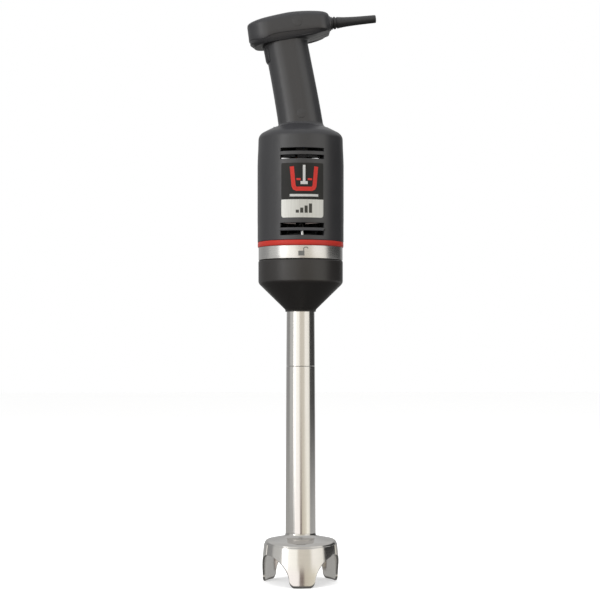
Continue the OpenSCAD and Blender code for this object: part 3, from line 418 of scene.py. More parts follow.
def moulded(name, colour, rough, grain=900.0, depth=0.25, mottle=0.12, shine=0.5):
    """Moulded plastic: a fine grain in the bump, slow clouds in colour and roughness, and scuffed
    lighter edges where the surface turns sharply."""
    material, tree, shader, node = new_material(name)
    place = node("ShaderNodeTexCoord").outputs["Object"]
    fine = node("ShaderNodeTexNoise", {"Vector": place, "Scale": grain, "Detail": 2.0, "Roughness": 0.6})
    pits = node("ShaderNodeTexVoronoi", {"Vector": place, "Scale": grain * 1.4})
    cloud = node("ShaderNodeTexNoise", {"Vector": place, "Scale": 14.0, "Detail": 4.0, "Roughness": 0.6})
    edge = node("ShaderNodeMapRange",
                {0: node("ShaderNodeNewGeometry").outputs["Pointiness"], 1: 0.52, 2: 0.62, 3: 0.0, 4: 0.35})
    low, high = (tuple(c * k for c in colour) for k in (1 - mottle, 1 + mottle))
    body = node("ShaderNodeMix", {0: cloud.outputs["Fac"], 6: (*low, 1), 7: (*high, 1)}, data_type="RGBA")
    rub = node("ShaderNodeMix", {0: edge.outputs[0], 6: body.outputs[2], 7: (*[c * 1.9 for c in colour], 1)},
               data_type="RGBA")
    gloss = node("ShaderNodeMapRange",
                 {0: cloud.outputs["Fac"], 1: 0.3, 2: 0.7, 3: rough - 0.05, 4: rough + 0.06})
    skin = node("ShaderNodeMath", {0: fine.outputs["Fac"], 1: pits.outputs["Distance"]}, operation="ADD")
    relief = node("ShaderNodeBump",
                  {"Height": skin.outputs[0], "Strength": depth, "Distance": 0.00012})
    tree.links.new(rub.outputs[2], shader.inputs["Base Color"])
    tree.links.new(gloss.outputs[0], shader.inputs["Roughness"])
    tree.links.new(relief.outputs[0], shader.inputs["Normal"])
    shader.inputs["Specular IOR Level"].default_value = shine
    return material


collar_plastic = moulded("collar_nylon", (0.019, 0.0165, 0.0155), 0.38, shine=0.8)
neck = np.radians(np.linspace(175, 135, 5))
crease = np.radians(np.linspace(-45, 0, 8))
lip = np.radians(np.linspace(0, 90, 7))
CREASE_DOWN = 20.8       # from the collar's top to the centre of its crease
CREASE_R, LIP_R = 6.0, 1.8
collar_line = np.concatenate([
    [[top_r + 0.05, collar_z], [top_r + 1.1, collar_z], [top_r + 1.3, collar_z + 0.2]],
    np.stack([top_r + 5 + 3.7 * np.cos(neck), collar_z + 0.4 + 3.7 * np.sin(neck)], -1),
    np.stack([collar_r + CREASE_R * (np.cos(crease) - 1),
              collar_high[2] - CREASE_DOWN + CREASE_R * np.sin(crease)], -1),
    np.stack([collar_r + LIP_R * (np.cos(lip) - 1), collar_high[2] + LIP_R * (np.sin(lip) - 1)], -1),
    [[collar_r - 2.4, collar_high[2] - 0.4], [collar_r - 2.4, collar_high[2] - 22],
     [top_r + 5, collar_z + 10], [top_r + 0.05, collar_z + 10]]])
fit(build("collar_funnel", *turned(collar_line), collar_plastic), "arm", "collar_black", "arm_collar")

# ---------------------------------------------------------------------------
# Lock band: a ring of 1.2 mm brushed stainless pressed over the bayonet socket, brushed round its
# girth. A small open padlock, printed in grey, shows where the arm unlocks.

band_low, band_high = box("lock_band")
band_r = band_high[0]
BAND_WALL = 1.15
band_steel = metal("brushed_band", (0.80, 0.79, 0.77), 0.27, streak=(1, 1, 90), scale=70, wear=0.05)
band = rounded([(band_r - BAND_WALL, band_low[2], 0), (band_r, band_low[2], 0.3),
                (band_r, band_high[2], 0.3), (band_r - BAND_WALL, band_high[2], 0)])
fit(build("lock_band_ring", *turned(band), band_steel), "motor_unit", "brushed_steel", "lock_band")


def ink(name, colour, rough=0.45):
    """Screen-printed ink: a flat colour broken by fine speckle, on a slightly uneven film."""
    material, tree, shader, node = new_material(name)
    place = node("ShaderNodeTexCoord").outputs["Object"]
    speck = node("ShaderNodeTexNoise", {"Vector": place, "Scale": 1600.0, "Detail": 2.0})
    film = node("ShaderNodeTexNoise", {"Vector": place, "Scale": 160.0, "Detail": 2.0})
    body = node("ShaderNodeMix",
                {0: speck.outputs["Fac"], 6: (*[c * 0.86 for c in colour], 1), 7: (*colour, 1)},
                data_type="RGBA")
    gloss = node("ShaderNodeMapRange", {0: film.outputs["Fac"], 3: rough - 0.1, 4: rough + 0.1})
    relief = node("ShaderNodeBump", {"Height": film.outputs["Fac"], "Strength": 0.1, "Distance": 0.0001})
    tree.links.new(body.outputs[2], shader.inputs["Base Color"])
    tree.links.new(gloss.outputs[0], shader.inputs["Roughness"])
    tree.links.new(relief.outputs[0], shader.inputs["Normal"])
    return material


def sheet_faces(rows, cols):
    """Faces of a thin sheet: a front grid, its back grid numbered after it, and the four sides."""
    front = quads(rows, cols).reshape(-1, 4)
    ids = np.arange(rows * cols).reshape(rows, cols)
    rim = np.concatenate([ids[0], ids[1:, -1], ids[-1, -2::-1], ids[-2:0:-1, 0]])
    wall = np.stack([rim, rim + rows * cols, np.roll(rim, -1) + rows * cols, np.roll(rim, -1)], -1)
    return np.concatenate([front, front[:, ::-1] + rows * cols, wall])


def wrapped(grid, radius, thick=0.05):
    """Lays a grid of (across, z) points on a cylinder: across is arc length from the front's middle.
    The back is the same grid on radius, and the four sides close it."""
    angle = grid[..., 0] / radius - np.pi / 2
    shells = [np.stack([r * np.cos(angle), r * np.sin(angle), grid[..., 1]], -1)
              for r in (radius + thick, radius)]
    return np.concatenate(shells).reshape(-1, 3), sheet_faces(*grid.shape[:2])


def stroke(path, width, spacing=0.8):
    """A flat ribbon of one width along a path of (across, z) points, mitred at its corners."""
    path = np.asarray(path, float)
    leg = np.linalg.norm(np.diff(path, axis=0), axis=1)
    far = np.concatenate([[0], np.cumsum(leg)])
    stops = np.unique(np.concatenate([far, np.arange(0, far[-1], spacing)]).round(6))
    line = np.stack([np.interp(stops, far, path[:, k]) for k in (0, 1)], -1)
    step = np.diff(line, axis=0)
    step /= np.linalg.norm(step, axis=1, keepdims=True)
    before, after = np.concatenate([step[:1], step]), np.concatenate([step, step[-1:]])
    side = np.stack([-(before + after)[:, 1], (before + after)[:, 0]], -1)
    side /= (np.linalg.norm(side, axis=1, keepdims=True) ** 2 / 2 + 1e-9)
    return np.stack([line - side * width / 2, line + side * width / 2], 1).transpose(1, 0, 2)


def slab(x0, x1, z0, z1, spacing=0.8):
    """A filled rectangle of (across, z) points."""
    x = np.linspace(x0, x1, max(2, int(abs(x1 - x0) / spacing) + 1))
    return np.stack(np.meshgrid(x, [z0, z1]), -1)


lock_x, lock_z = -0.8, (band_low[2] + band_high[2]) / 2 - 1.2
bow = np.radians(np.linspace(200, 10, 14))
shackle = np.concatenate([[[lock_x + 2.0, lock_z + 1.8]],
                          np.stack([lock_x + 4.2 + 2.2 * np.cos(bow), lock_z + 3.8 + 1.9 * np.sin(bow)], -1)])
padlock = [slab(lock_x - 3.4, lock_x + 2.8, lock_z - 2.8, lock_z + 2.0), stroke(shackle, 0.9)]
fit(build("unlock_mark", *joined(*[wrapped(g, band_r + 0.005) for g in padlock]),
          ink("ink_grey", (0.24, 0.24, 0.23))), "motor_unit", "brushed_steel")

# ---------------------------------------------------------------------------
# Trim ring: a red silicone gasket squeezed between the band and the casing. It is moulded as one
# loop with a soft crown, so that no dirt gathers at the joint.

ring_low, ring_high = box("trim_ring")
ring_out, ring_mid = ring_high[0], (ring_low[2] + ring_high[2]) / 2
red = moulded("red_silicone", (0.74, 0.045, 0.03), 0.36, grain=600, depth=0.12, mottle=0.08)
trim = rounded([(ring_out - 3, ring_low[2], 0), (ring_out - 0.2, ring_low[2] + 0.05, 0.9),
                (ring_out, ring_mid, 1.0), (ring_out - 0.2, ring_high[2] - 0.05, 0.9),
                (ring_out - 3, ring_high[2], 0)])
fit(build("trim_ring_red", *turned(trim), red), "motor_unit", "ring_red", "trim_ring")

# ---------------------------------------------------------------------------
# Motor casing: one deep moulding of dark grey ABS, satin with a fine grain, open at the bottom and
# closed by a rounded roof. Two pairs of air slots are cut front and rear.

case_low, case_high = box("motor_casing")
case_r, base_z, roof_z = case_high[0], case_low[2], case_high[2]
CASE_WALL = 2.6
SLOT_HALF = 30           # degrees from the middle of a slot to its end
SLOTS = [(4.5, 9.3), (12.1, 16.9), (81.1, 85.9), (88.7, 93.5)]
CASE_AROUND = 144        # faces round the casing, so each spans 2.5 degrees
casing_plastic = moulded("casing_abs", (0.032, 0.032, 0.0355), 0.36, grain=1100, depth=0.15, mottle=0.05,
                         shine=0.95)


def casing():
    """Wall of revolution whose rings stand at every slot edge: faces inside a slot are left out on both
    skins, and the slot's own four walls join the skins."""
    around = CASE_AROUND
    line = np.array([(0, -0.1), (9, -0.1), (18, -0.1), (21, 0), (50, 0), (78, 0), (85, -0.18), (92, -0.5)])
    z = np.unique(np.concatenate([[0.0, 0.6], line[1:, 0], np.ravel(SLOTS)]))
    z = z[z <= 93.5]
    r = case_r + np.interp(z, line[:, 0], line[:, 1])
    r = np.where(z > 92, case_r - 0.62, r)
    arc = np.radians(np.linspace(4, 64, 10))
    tall = roof_z - base_z
    shoulder = np.stack([case_r - 9.3 + 8.35 * np.cos(arc), tall - 13 + 8.2 * np.sin(arc)], -1)
    top = np.array([[32.6, tall - 2.5], [30.2, tall - 1.3], [27.4, tall - 0.2], [19.0, tall - 0.2],
                    [19.0, tall - CASE_WALL], [28.0, tall - CASE_WALL], [34.5, tall - 6.5],
                    [39.2, tall - 11], [40.4, tall - 14.5]])
    inner = np.stack([np.full(len(z), case_r - CASE_WALL - 0.1), z], -1)[::-1]
    inner[:5, 0] -= np.linspace(1.0, 0.0, 5)
    rows = np.concatenate([np.stack([r, z], -1), shoulder, top, inner])
    a = np.linspace(0, 2 * np.pi, around, endpoint=False)
    grid = np.stack([rows[:, :1] * np.cos(a), rows[:, :1] * np.sin(a),
                     np.broadcast_to(base_z + rows[:, 1:], (len(rows), around))], -1)
    faces = quads(len(rows), around, True, True)
    keep = np.ones(faces.shape[:2], bool)
    walls = []
    for low, high in SLOTS:
        o = int(np.searchsorted(z, low - 1e-6))
        i = len(rows) - 1 - o
        for centre in (-90, 90):
            start = round((centre - SLOT_HALF) % 360 * around / 360)
            cols = np.arange(start, start + round(2 * SLOT_HALF * around / 360))
            c, d = cols % around, (cols + 1) % around
            keep[o, c] = False
            keep[i - 1, c] = False
            for up in (0, 1):
                a0, a1 = (o + up) * around, (i - up) * around
                walls.append(np.stack([a0 + c, a0 + d, a1 + d, a1 + c], -1))
            for e in (c[0], d[-1]):
                walls.append(np.array([[row * around + e for row in (o, o + 1, i - 1, i)]]))
    return grid.reshape(-1, 3), np.concatenate([faces[keep], *walls])


case_piece = build("casing_shell", *casing(), casing_plastic)
soften = case_piece.modifiers.new("edges", "BEVEL")
soften.width, soften.segments, soften.limit_method, soften.angle_limit = 0.00035, 2, "ANGLE", np.radians(45)
fit(case_piece, "motor_unit", "casing_grey", "motor_casing")

# ---------------------------------------------------------------------------
# Label and badge: two printed polycarbonate films stuck on the front of the casing. The black one
# carries a plain picture of a beaker with a blending rod in it, the silver one rising power bars.

plate_low, plate_high = box("label_plate")
badge_low, badge_high = box("rating_badge")
LABEL_HALF = np.radians(28.2)
FILM = 0.24              # thickness of both films
END_ROOM = 2.6           # columns stand closer together this near to a side
film_in = case_r + 0.02


def film(low, high, round_low, round_high):
    """A bent sheet: columns by bearing, rows from the low edge to the high one, whose height follows
    a quarter circle at the two ends where the corners are rounded."""
    reach = LABEL_HALF * film_in
    ends = END_ROOM * (1 - np.cos(np.radians(np.linspace(0, 90, 9))))
    x = np.concatenate([ends - reach, np.linspace(END_ROOM - reach, reach - END_ROOM, 40)[1:-1],
                        reach - ends[::-1]])
    x[[0, -1]] = [-reach, reach]
    near = np.clip(reach - np.abs(x), 0, None)

    def dip(radius):
        return radius - np.sqrt(np.clip(radius ** 2 - np.clip(radius - near, 0, None) ** 2, 0, None))

    z0, z1 = low + dip(round_low), high - dip(round_high)
    t = np.linspace(0, 1, 6)[:, None]
    return np.stack([np.broadcast_to(x, (6, len(x))), z0 + t * (z1 - z0)], -1)


label_mat = moulded("label_film", (0.007, 0.007, 0.006), 0.45, grain=300, depth=0.05, mottle=0.06)
badge_mat, tree, shader, node = new_material("badge_film")
place = node("ShaderNodeTexCoord").outputs["Object"]
drawn = node("ShaderNodeMapping", {"Vector": place, "Scale": (900, 900, 30)}).outputs[0]
brush = node("ShaderNodeTexNoise", {"Vector": drawn, "Scale": 1.0, "Detail": 4.0})
silver = node("ShaderNodeMix", {0: brush.outputs["Fac"], 6: (0.66, 0.66, 0.62, 1), 7: (0.86, 0.86, 0.82, 1)},
              data_type="RGBA")
sheeny = node("ShaderNodeMapRange", {0: brush.outputs["Fac"], 3: 0.3, 4: 0.42})
tree.links.new(silver.outputs[2], shader.inputs["Base Color"])
tree.links.new(sheeny.outputs[0], shader.inputs["Roughness"])
shader.inputs["Metallic"].default_value = 0.35
shader.inputs["Coat Weight"].default_value = 0.3
label_grid = film(plate_low[2] + 0.02, plate_high[2], 0.4, 1.6)
fit(build("label_film", *wrapped(label_grid, film_in, FILM), label_mat),
    "motor_unit", "label_black", "label_plate")
badge_grid = film(badge_low[2], badge_high[2] - 0.02, 2.6, 0.4)
fit(build("badge_film", *wrapped(badge_grid, film_in, FILM), badge_mat),
    "motor_unit", "badge_silver", "rating_badge")

print_r = film_in + FILM
mark_x, mark_z = 1.6, (plate_low[2] + plate_high[2]) / 2 + 3.4
half_beaker = np.array([(12.4, 11.2), (10.6, -8.2), (9.6, -10.3), (7.6, -11.2)])
beaker = np.concatenate([half_beaker * (-1, 1), half_beaker[::-1]]) + (mark_x, mark_z)
level_z = mark_z - 1.6
red_marks = [stroke(beaker, 4.2), stroke([(mark_x - 7.8, level_z), (mark_x - 3.6, level_z)], 2.0),
             stroke([(mark_x + 3.6, level_z), (mark_x + 8.0, level_z)], 2.0)]
fit(build("mark_beaker", *joined(*[wrapped(g, print_r) for g in red_marks]),
          ink("ink_red", (0.86, 0.05, 0.038), 0.5)), "motor_unit", "ring_red")
rod = [slab(mark_x - 1.3, mark_x + 1.3, mark_z - 3.6, mark_z + 12.6),
       slab(mark_x - 3.6, mark_x + 3.6, mark_z - 6.6, mark_z - 3.6),
       slab(mark_x - 14.6, mark_x + 14.6, plate_low[2] + 2.8, plate_low[2] + 5.2)]
fit(build("mark_rod", *joined(*[wrapped(g, print_r + 0.02) for g in rod]),
          ink("ink_white", (0.86, 0.86, 0.84))), "motor_unit", "badge_silver")
bars = [slab(mark_x - 8.4 + 4.4 * k, mark_x - 5.2 + 4.4 * k, badge_low[2] + 4.6, badge_low[2] + 7.6 + 2.1 * k)
        for k in range(4)]
fit(build("mark_bars", *joined(*[wrapped(g, print_r) for g in bars]), ink("ink_dark", (0.06, 0.058, 0.05))),
    "motor_unit", "label_black")

# ---------------------------------------------------------------------------
# Handle: two ABS half shells that meet along the middle, held by two screws. They flare out of the
# casing's roof, lean as a rounded grip and close in a long crowned head with an overhanging belt.

GRIP_LEAN, HEAD_TILT = 10.5, 7.5
SHELL_WALL = 1.9
FLARE_SUNK, FLARE_TOP = 0.6, 5.0            # the flare's rows start this far below the roof and end above
grip_foot = np.array([0.8, 0, roof_z])
head_foot = np.array([0, 0, roof_z + 95.7])
grip_half, grip_deep, grip_corner = 21.9, 20.5, 17.5
trigger_low, trigger_wide = 70.5, 11.3      # foot and half width of the trigger's opening


def leaning(points, origin, degrees):
    """Points of a frame whose Z leans by degrees towards -X, put in the row frame."""
    t = np.radians(degrees)
    x, y, z = np.moveaxis(np.asarray(points, float), -1, 0)
    return np.stack([x * np.cos(t) - z * np.sin(t), y, x * np.sin(t) + z * np.cos(t)], -1) + origin


def upright(points, origin, degrees):
    """The reverse of leaning."""
    t = np.radians(degrees)
    x, y, z = np.moveaxis(np.asarray(points, float) - origin, -1, 0)
    return np.stack([x * np.cos(t) + z * np.sin(t), y, -x * np.sin(t) + z * np.cos(t)], -1)


# Places round half a section: the seam on the right, a corner, the front, a corner, the seam on the left.
PART = np.concatenate([np.zeros(5), np.ones(15), np.full(11, 2), np.full(15, 3), np.full(5, 4)]).astype(int)
opening_turn = np.degrees(np.arcsin((trigger_wide - (grip_deep - grip_corner)) / grip_corner))
SHARE = np.concatenate([[0, 0.05, 0.2, 0.5, 0.8], np.linspace(0, 1, 15), np.linspace(0.06, 0.94, 11),
                        np.linspace(0, 1 - opening_turn / 90, 10),
                        np.linspace(1 - opening_turn / 90, 1, 6)[1:], [0.2, 0.5, 0.8, 0.95, 1]])
OPENING_COL = 5 + 15 + 11 + 9


def half_section(left, right, deep, round_left, round_right):
    """(x, y) and outward (x, y) direction at each place of half a rounded rectangle, for y below 0."""
    one = np.ones(len(SHARE))
    left, right, deep, rl, rr = (one * v for v in (left, right, deep, round_left, round_right))
    turn = SHARE * np.pi / 2
    x = np.select([PART == 0, PART == 1, PART == 2, PART == 3],
                  [right, right - rr + rr * np.cos(turn), right - rr + (left + rl - right + rr) * SHARE,
                   left + rl - rl * np.sin(turn)], left)
    y = np.select([PART == 0, PART == 1, PART == 2, PART == 3],
                  [-(deep - rr) * SHARE, -(deep - rr) - rr * np.sin(turn), -deep,
                   -(deep - rl) - rl * np.cos(turn)], -(deep - rl) * (1 - SHARE))
    nx = np.select([PART == 0, PART == 1, PART == 2, PART == 3], [1, np.cos(turn), 0, -np.sin(turn)], -1)
    ny = np.select([PART == 0, PART == 1, PART == 2, PART == 3], [0, -np.sin(turn), -1, -np.cos(turn)], 0)
    return np.stack([x, y], -1), np.stack([nx, ny], -1)


def handle_half():
    """Rows of half a handle, front side: flare, grip, the fillet under the head, its belly, the step
    of the belt, the rounded top edge and the crown. Also gives the rows of the trigger's opening."""
    rows = []
    for h in np.linspace(-FLARE_SUNK, FLARE_TOP, 9):
        part = (1 - (h + FLARE_SUNK) / (FLARE_TOP + FLARE_SUNK)) ** 3
        half = 22.9 + 4.1 * part
        middle = (grip_foot[0] - 0.185 * h) * (1 - part)
        xy, _ = half_section(middle - half, middle + half, grip_deep + 6.0 * part,
                             grip_corner + 8.9 * part, grip_corner + 8.9 * part)
        rows.append(np.column_stack([xy, np.full(len(xy), roof_z + h)]))
    xy, normal = half_section(-grip_half, grip_half, grip_deep, grip_corner, grip_corner)

    def grip(s):
        s = np.broadcast_to(np.asarray(s, float), len(xy))
        bow = 0.45 * np.sin(np.pi * np.clip(s / 88, 0, 1))
        wide = 1 + 0.03 * np.clip((62 - s) / 57, 0, 1)
        return leaning(np.column_stack([xy[:, 0] * wide + bow, xy[:, 1], s]), grip_foot, GRIP_LEAN)

    def belly(x):
        return np.interp(x, [-54, -44, 12, 24, 31], [-8.1, -8.0, -5.5, -3.0, -0.6])

    s_end = np.full(len(xy), 88.0)
    for _ in range(6):
        here = upright(grip(s_end), head_foot, HEAD_TILT)
        s_end = s_end - (here[:, 2] - belly(here[:, 0]))
    to_left, to_right = np.clip(-normal[:, 0], 0, 1) ** 2, np.clip(normal[:, 0], 0, 1) ** 2
    fillet = 0.6 + 0.2 * to_left + 4.9 * to_right
    levels = [16, 26, 38, 50, 60, trigger_low - 0.4, trigger_low, 74, 78, 82]
    opening = [len(rows) + levels.index(trigger_low)]
    rows += [grip(s) for s in levels]
    corner = upright(grip(s_end), head_foot, HEAD_TILT)
    outward = np.column_stack([normal, 0.045 * normal[:, 0]])
    start = upright(grip(s_end - fillet), head_foot, HEAD_TILT)
    rows += list(leaning(bezier(start, corner, corner + outward * fillet[:, None], 7), head_foot, HEAD_TILT))
    opening.append(len(rows) - 1)

    def plan(d):
        return half_section(-53.4 + d, 30.2 - d, 25 - d, 22 - d, 12 - d)[0]

    inset = 3.3 - 2.5 * to_left - 1.9 * to_right
    soft = 0.5 + 3.7 * to_left + 1.8 * to_right

    def hem(x):
        """How far the belt's lower edge dips at x: a sag at the nose and a slope at the tail."""
        return -3.6 * np.exp(-((x + 41) / 9.5) ** 2) - 1.4 * np.clip((x - 8) / 20, 0, 1) ** 2

    def ring(d, z):
        flat = plan(d)
        return np.column_stack([flat, z(flat[:, 0]) if callable(z) else np.broadcast_to(z, len(flat))])

    last = upright(rows[-1], head_foot, HEAD_TILT)
    under = ring(inset + soft, belly)
    head = [last + (under - last) * t for t in (0.33, 0.66)]
    flat = plan(inset)
    side_z = np.minimum(belly(flat[:, 0]) + soft, hem(flat[:, 0]) - 0.5)
    head += list(bezier(under, np.column_stack([flat, side_z + 0.2]), np.column_stack([flat, side_z]), 7))
    none = np.zeros(len(xy))
    for d, lift in ((0.8, -0.2), (0.8, 0), (0.5, 0), (0.15, 0.12), (0, 0.5)):
        head.append(ring(none + d, lambda x: hem(x) + lift))

    def crown(x):
        return 20.5 - np.where(x < -9, 0.034 * np.abs(x + 9) ** 1.3, (x + 9) ** 2 / 330)

    top = 6.0 - 4.2 * to_left - 3.2 * to_right
    edge_x = plan(none)[:, 0]
    edge_z, start_z = crown(edge_x) - top, hem(edge_x) + 0.5
    head += [ring(none, start_z + (edge_z - start_z) * t) for t in (0.35, 0.7, 1.0)]
    for bend in np.radians(np.linspace(0, 90, 9))[1:]:
        flat = plan(top * (1 - np.cos(bend)))
        head.append(np.column_stack([flat, crown(flat[:, 0]) - top * (1 - np.sin(bend))]))
    rim = head[-1][:, :2]
    spine = np.column_stack([np.clip(rim[:, 0], -30, 16) * 0.9, np.zeros(len(rim))])
    for t in (0.15, 0.35, 0.6, 0.82, 1.0):
        flat = rim + (spine - rim) * t
        head.append(np.column_stack([flat, crown(flat[:, 0])]))
    rows += [leaning(row, head_foot, HEAD_TILT) for row in head]
    return np.array(rows), opening


def handle_shell(front):
    """Half a shell: the rows above without the faces of the trigger's opening, with a fine V at the
    seam. The rear half is its mirror image."""
    grid, (low, high) = handle_half()
    for col, near in ((0, 1), (-1, -2)):
        grid[:, col, 1] = -0.03
        grid[:, near, 1] = np.minimum(grid[:, near, 1], -0.35) if col == 0 else -0.35
        centre = grid[:, :, 0].mean(1)
        grid[:, col, 0] -= 0.3 * np.sign(grid[:, col, 0] - centre)
    grid[-1, :, 1] = -0.03
    faces = quads(*grid.shape[:2])
    keep = np.ones(faces.shape[:2], bool)
    keep[low:high, OPENING_COL:] = False
    if not front:
        grid[..., 1] *= -1
    return grid.reshape(-1, 3), faces[keep].reshape(-1, 4)


def thick(made, wall):
    """Gives an open skin its wall, inwards."""
    shell = made.modifiers.new("wall", "SOLIDIFY")
    shell.thickness, shell.offset, shell.use_even_offset = wall * 0.001, -1, False
    return made


for side, name in ((True, "front"), (False, "rear")):
    half = build(f"handle_{name}_skin", *handle_shell(side), casing_plastic)
    outward = sum(p.normal.y * p.area for p in half.data.polygons) * (-1 if side else 1)
    if outward < 0:
        half.data.flip_normals()
    fit(thick(half, SHELL_WALL), "motor_unit", "casing_grey", f"handle_{name}_shell")

# ---------------------------------------------------------------------------
# Screw plugs: two push-in nylon buttons that hide the handle's screws, one at the foot of the grip
# and one in the head.

plug_mat = moulded("plug_nylon", (0.036, 0.036, 0.0395), 0.37, grain=1100, depth=0.15, mottle=0.05,
                   shine=0.95)
PLUG_DEEP = 2.1
# Each plug's name, centre (x, z), radius and the y that its face stands out to.
PLUGS = [("foot", -0.3, roof_z + 11.9, 4.7, -20.7), ("head", -4.6, roof_z + 104.6, 5.2, -25.2)]
for name, x, z, r, face in PLUGS:
    line = rounded([(0, 0, 0), (r, 0, 0), (r, PLUG_DEEP, 0.3), (0, PLUG_DEEP + 0.1, 0)])
    points, faces = turned(line, 48, ring=False)
    points = np.column_stack([points[:, 0] + x, face + PLUG_DEEP - points[:, 2], points[:, 1] + z])
    fit(build(f"screw_plug_{name}", points, faces, plug_mat), "motor_unit", "casing_grey", "screw_plugs")

# ---------------------------------------------------------------------------
# Strain relief: a soft black PVC sleeve clamped in the head, with two grooves that let it flex and a
# long taper. A short boss of the shells holds its root.

relief_mat = moulded("relief_pvc", (0.040, 0.040, 0.042), 0.42, grain=500, depth=0.15)
RELIEF = (np.array([31.0, 0, roof_z + 107.9]), -83.8)      # the sleeve's root and its lean
sleeve = rounded([(3.35, -6, 0), (6.5, -6, 0), (6.5, 1.6, 0.4), (5.5, 1.7, 0.3), (5.5, 2.7, 0.3),
                  (6.4, 2.8, 0.4), (6.15, 5, 0.4), (5.1, 5.1, 0.3), (5.1, 6.1, 0.3), (5.95, 6.2, 0.4),
                  (5.1, 12.5, 4), (4.4, 24, 6), (4.12, 38, 4), (4.05, 46.2, 1.0), (3.5, 46.75, 0.2),
                  (3.35, 46.7, 0), (3.35, 20, 0)])
points, faces = turned(sleeve, 72)
fit(build("relief_sleeve", leaning(points, *RELIEF), faces, relief_mat),
    "motor_unit", "relief_black", "strain_relief")
boss = rounded([(6.55, -9, 0), (9.6, -9, 0), (8.9, -3.4, 1.2), (7.3, -0.1, 0.8), (6.55, -0.1, 0.2)])
points, faces = turned(boss, 72)
fit(build("relief_boss", leaning(points, *RELIEF), faces, casing_plastic),
    "motor_unit", "casing_grey", "handle_front_shell")

# ---------------------------------------------------------------------------
# Trigger: a soft-touch rocker under the forefinger, moulded in black and hinged on a steel pin under
# the head. It stands a little proud of the grip.

PAD_HALF, PAD_RISE = 10.9, 1.5
trigger_mat = moulded("trigger_soft", (0.034, 0.034, 0.037), 0.45, grain=1300, depth=0.3)


def rocker():
    """A pad in (s, y): its face follows the grip's own section plus a crown that falls off at its ends
    and sides, its back is a flatter copy."""
    s = np.concatenate([np.linspace(trigger_low + 0.4, 76, 9), np.linspace(77.5, 89, 9)])
    y = np.linspace(-PAD_HALF, PAD_HALF, 25)
    straight = grip_deep - grip_corner
    bulge = np.clip(np.abs(y) - straight, 0, None)
    hug = grip_half - grip_corner + np.sqrt(grip_corner ** 2 - bulge ** 2)
    rise = PAD_RISE * np.clip((s - s[0]) / 3.0, 0, 1) ** 0.6
    fall = np.clip((PAD_HALF - np.abs(y)) / 2.2, 0, 1) ** 0.5
    face = -(hug[None, :] + rise[:, None] * fall[None, :] - 0.5 * (1 - fall[None, :]))
    back = np.broadcast_to(-(hug[None, :] - 3.4), face.shape)
    ss, yy = np.meshgrid(s, y, indexing="ij")
    grid = np.stack([np.stack([u, yy, ss], -1) for u in (face, back)])
    return leaning(grid, grip_foot, GRIP_LEAN).reshape(-1, 3), sheet_faces(len(s), len(y))


fit(build("trigger_rocker", *rocker(), trigger_mat), "trigger", "trigger_black", "trigger")
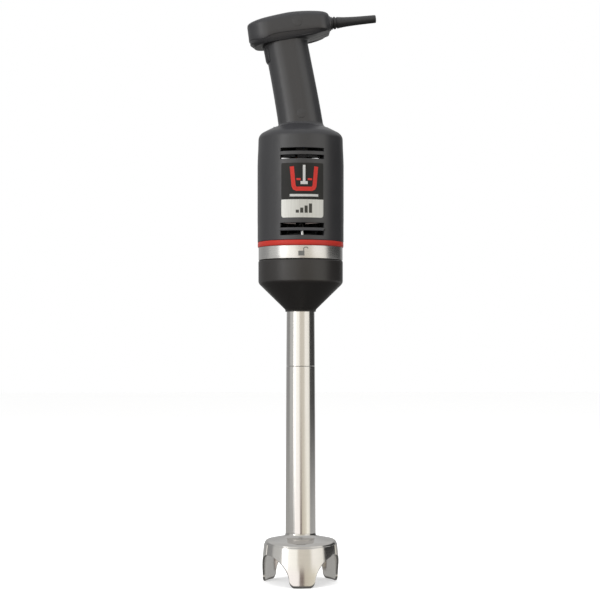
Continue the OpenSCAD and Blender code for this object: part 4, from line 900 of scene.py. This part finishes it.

# ---------------------------------------------------------------------------
# Inner parts: the blade and its shaft, bearings, motor and wiring are the CAD's own shapes. Most get the
# finish of what they are made of. The socket, brackets, coupling, fan, brush gear, coils and most of the
# motor's steel carry painted shade: they are darker than they really are, so that the vents look dark from
# outside.

blade_steel = metal("ground_blade", (0.74, 0.74, 0.74), 0.2, streak=(50, 1, 1), scale=50, wear=0.1, bump=0.08)
bright = metal("ground_steel", (0.62, 0.62, 0.63), 0.26, streak=(1, 1, 40), scale=50)
zinc = metal("zinc_screw", (0.66, 0.67, 0.68), 0.3, scale=400, wear=0.12)
cast = metal("cast_alloy", (0.56, 0.57, 0.58), 0.48, scale=260, wear=0.14, bump=0.4, tint=0.14)
copper = metal("enamel_copper", (0.30, 0.12, 0.055), 0.28, streak=(1, 1, 40), scale=40, bump=0.3, tint=0.25)
bronze = metal("sinter_bronze", (0.34, 0.24, 0.12), 0.42, scale=500, bump=0.3, tint=0.2)
brass = metal("brass", (0.72, 0.54, 0.24), 0.28, scale=300)
carbon = moulded("carbon_brush", (0.025, 0.025, 0.027), 0.6, grain=700, depth=0.5)
rubber = moulded("seal_rubber", (0.02, 0.02, 0.02), 0.6, grain=500, depth=0.3)
nylon = moulded("nylon_grey", (0.24, 0.25, 0.25), 0.5, grain=600, depth=0.2)
white = moulded("nylon_white", (0.68, 0.67, 0.62), 0.45, grain=600, depth=0.15)
yellow = moulded("film_yellow", (0.72, 0.46, 0.06), 0.3, grain=300, depth=0.08)
green = moulded("board_green", (0.03, 0.18, 0.07), 0.35, grain=400, depth=0.1)
lead = moulded("lead_pvc", (0.05, 0.11, 0.32), 0.4, grain=400, depth=0.1)
# Painted shade: the motor's steel, the lower bearing's outer ring and the brush gear behind the vents, made
# almost black so the vents look dark.
painted_shade_steel = metal("steel_in_painted_shade", (0.07, 0.07, 0.075), 0.5, scale=300, wear=0.1)
# Painted shade: the field coils, made dark brown so the vents look dark.
painted_shade_coils = moulded("coils_in_painted_shade", (0.05, 0.03, 0.02), 0.6, grain=500, depth=0.4)
# Black nylon for the switch body and board parts; painted shade for the bayonet socket, brackets, drive dogs
# and fan, made near black so the vents look dark.
dark = moulded("black_nylon_and_painted_shade", (0.012, 0.012, 0.013), 0.5, grain=700, depth=0.2)
FINISH = {
    "blade": blade_steel, "blade_screw": zinc, "arm_shaft": bright, "shaft_bushes": bronze,
    "shaft_seal": rubber, "seal_clip": zinc, "arm_hub": cast, "arm_bearing_outer": bright,
    "arm_bearing_inner": bright, "coupling_seal": rubber, "bayonet_ring": bright, "ring_screws": zinc,
    "bayonet_socket": dark, "lower_bracket": dark, "lower_bearing_outer": painted_shade_steel,
    "lower_bearing_inner": bright, "casing_screws": zinc, "stator_core": painted_shade_steel, "field_coils": painted_shade_coils,
    "motor_bolts": painted_shade_steel, "upper_bracket": dark, "upper_bearing_outer": bright,
    "upper_bearing_inner": bright, "brush_holders": painted_shade_steel, "carbon_brushes": carbon,
    "brush_springs": painted_shade_steel, "motor_shaft": painted_shade_steel, "rotor_core": painted_shade_steel, "rotor_winding": copper,
    "commutator": copper, "cooling_fan": dark, "drive_dog": dark, "driven_dog": dark,
    "handle_screws": zinc, "trigger_pin": bright, "switch_body": dark, "switch_plunger": white,
    "trigger_spring": zinc, "terminal_block": white, "terminal_screws": brass,
    "suppression_capacitor": yellow, "cord_clamp": nylon, "circuit_board": green, "board_parts": dark,
    "small_screws": zinc, "wiring": lead}
for node_name, finish in FINISH.items():
    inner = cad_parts[node_name]
    inner.data.materials.clear()
    inner.data.materials.append(finish)
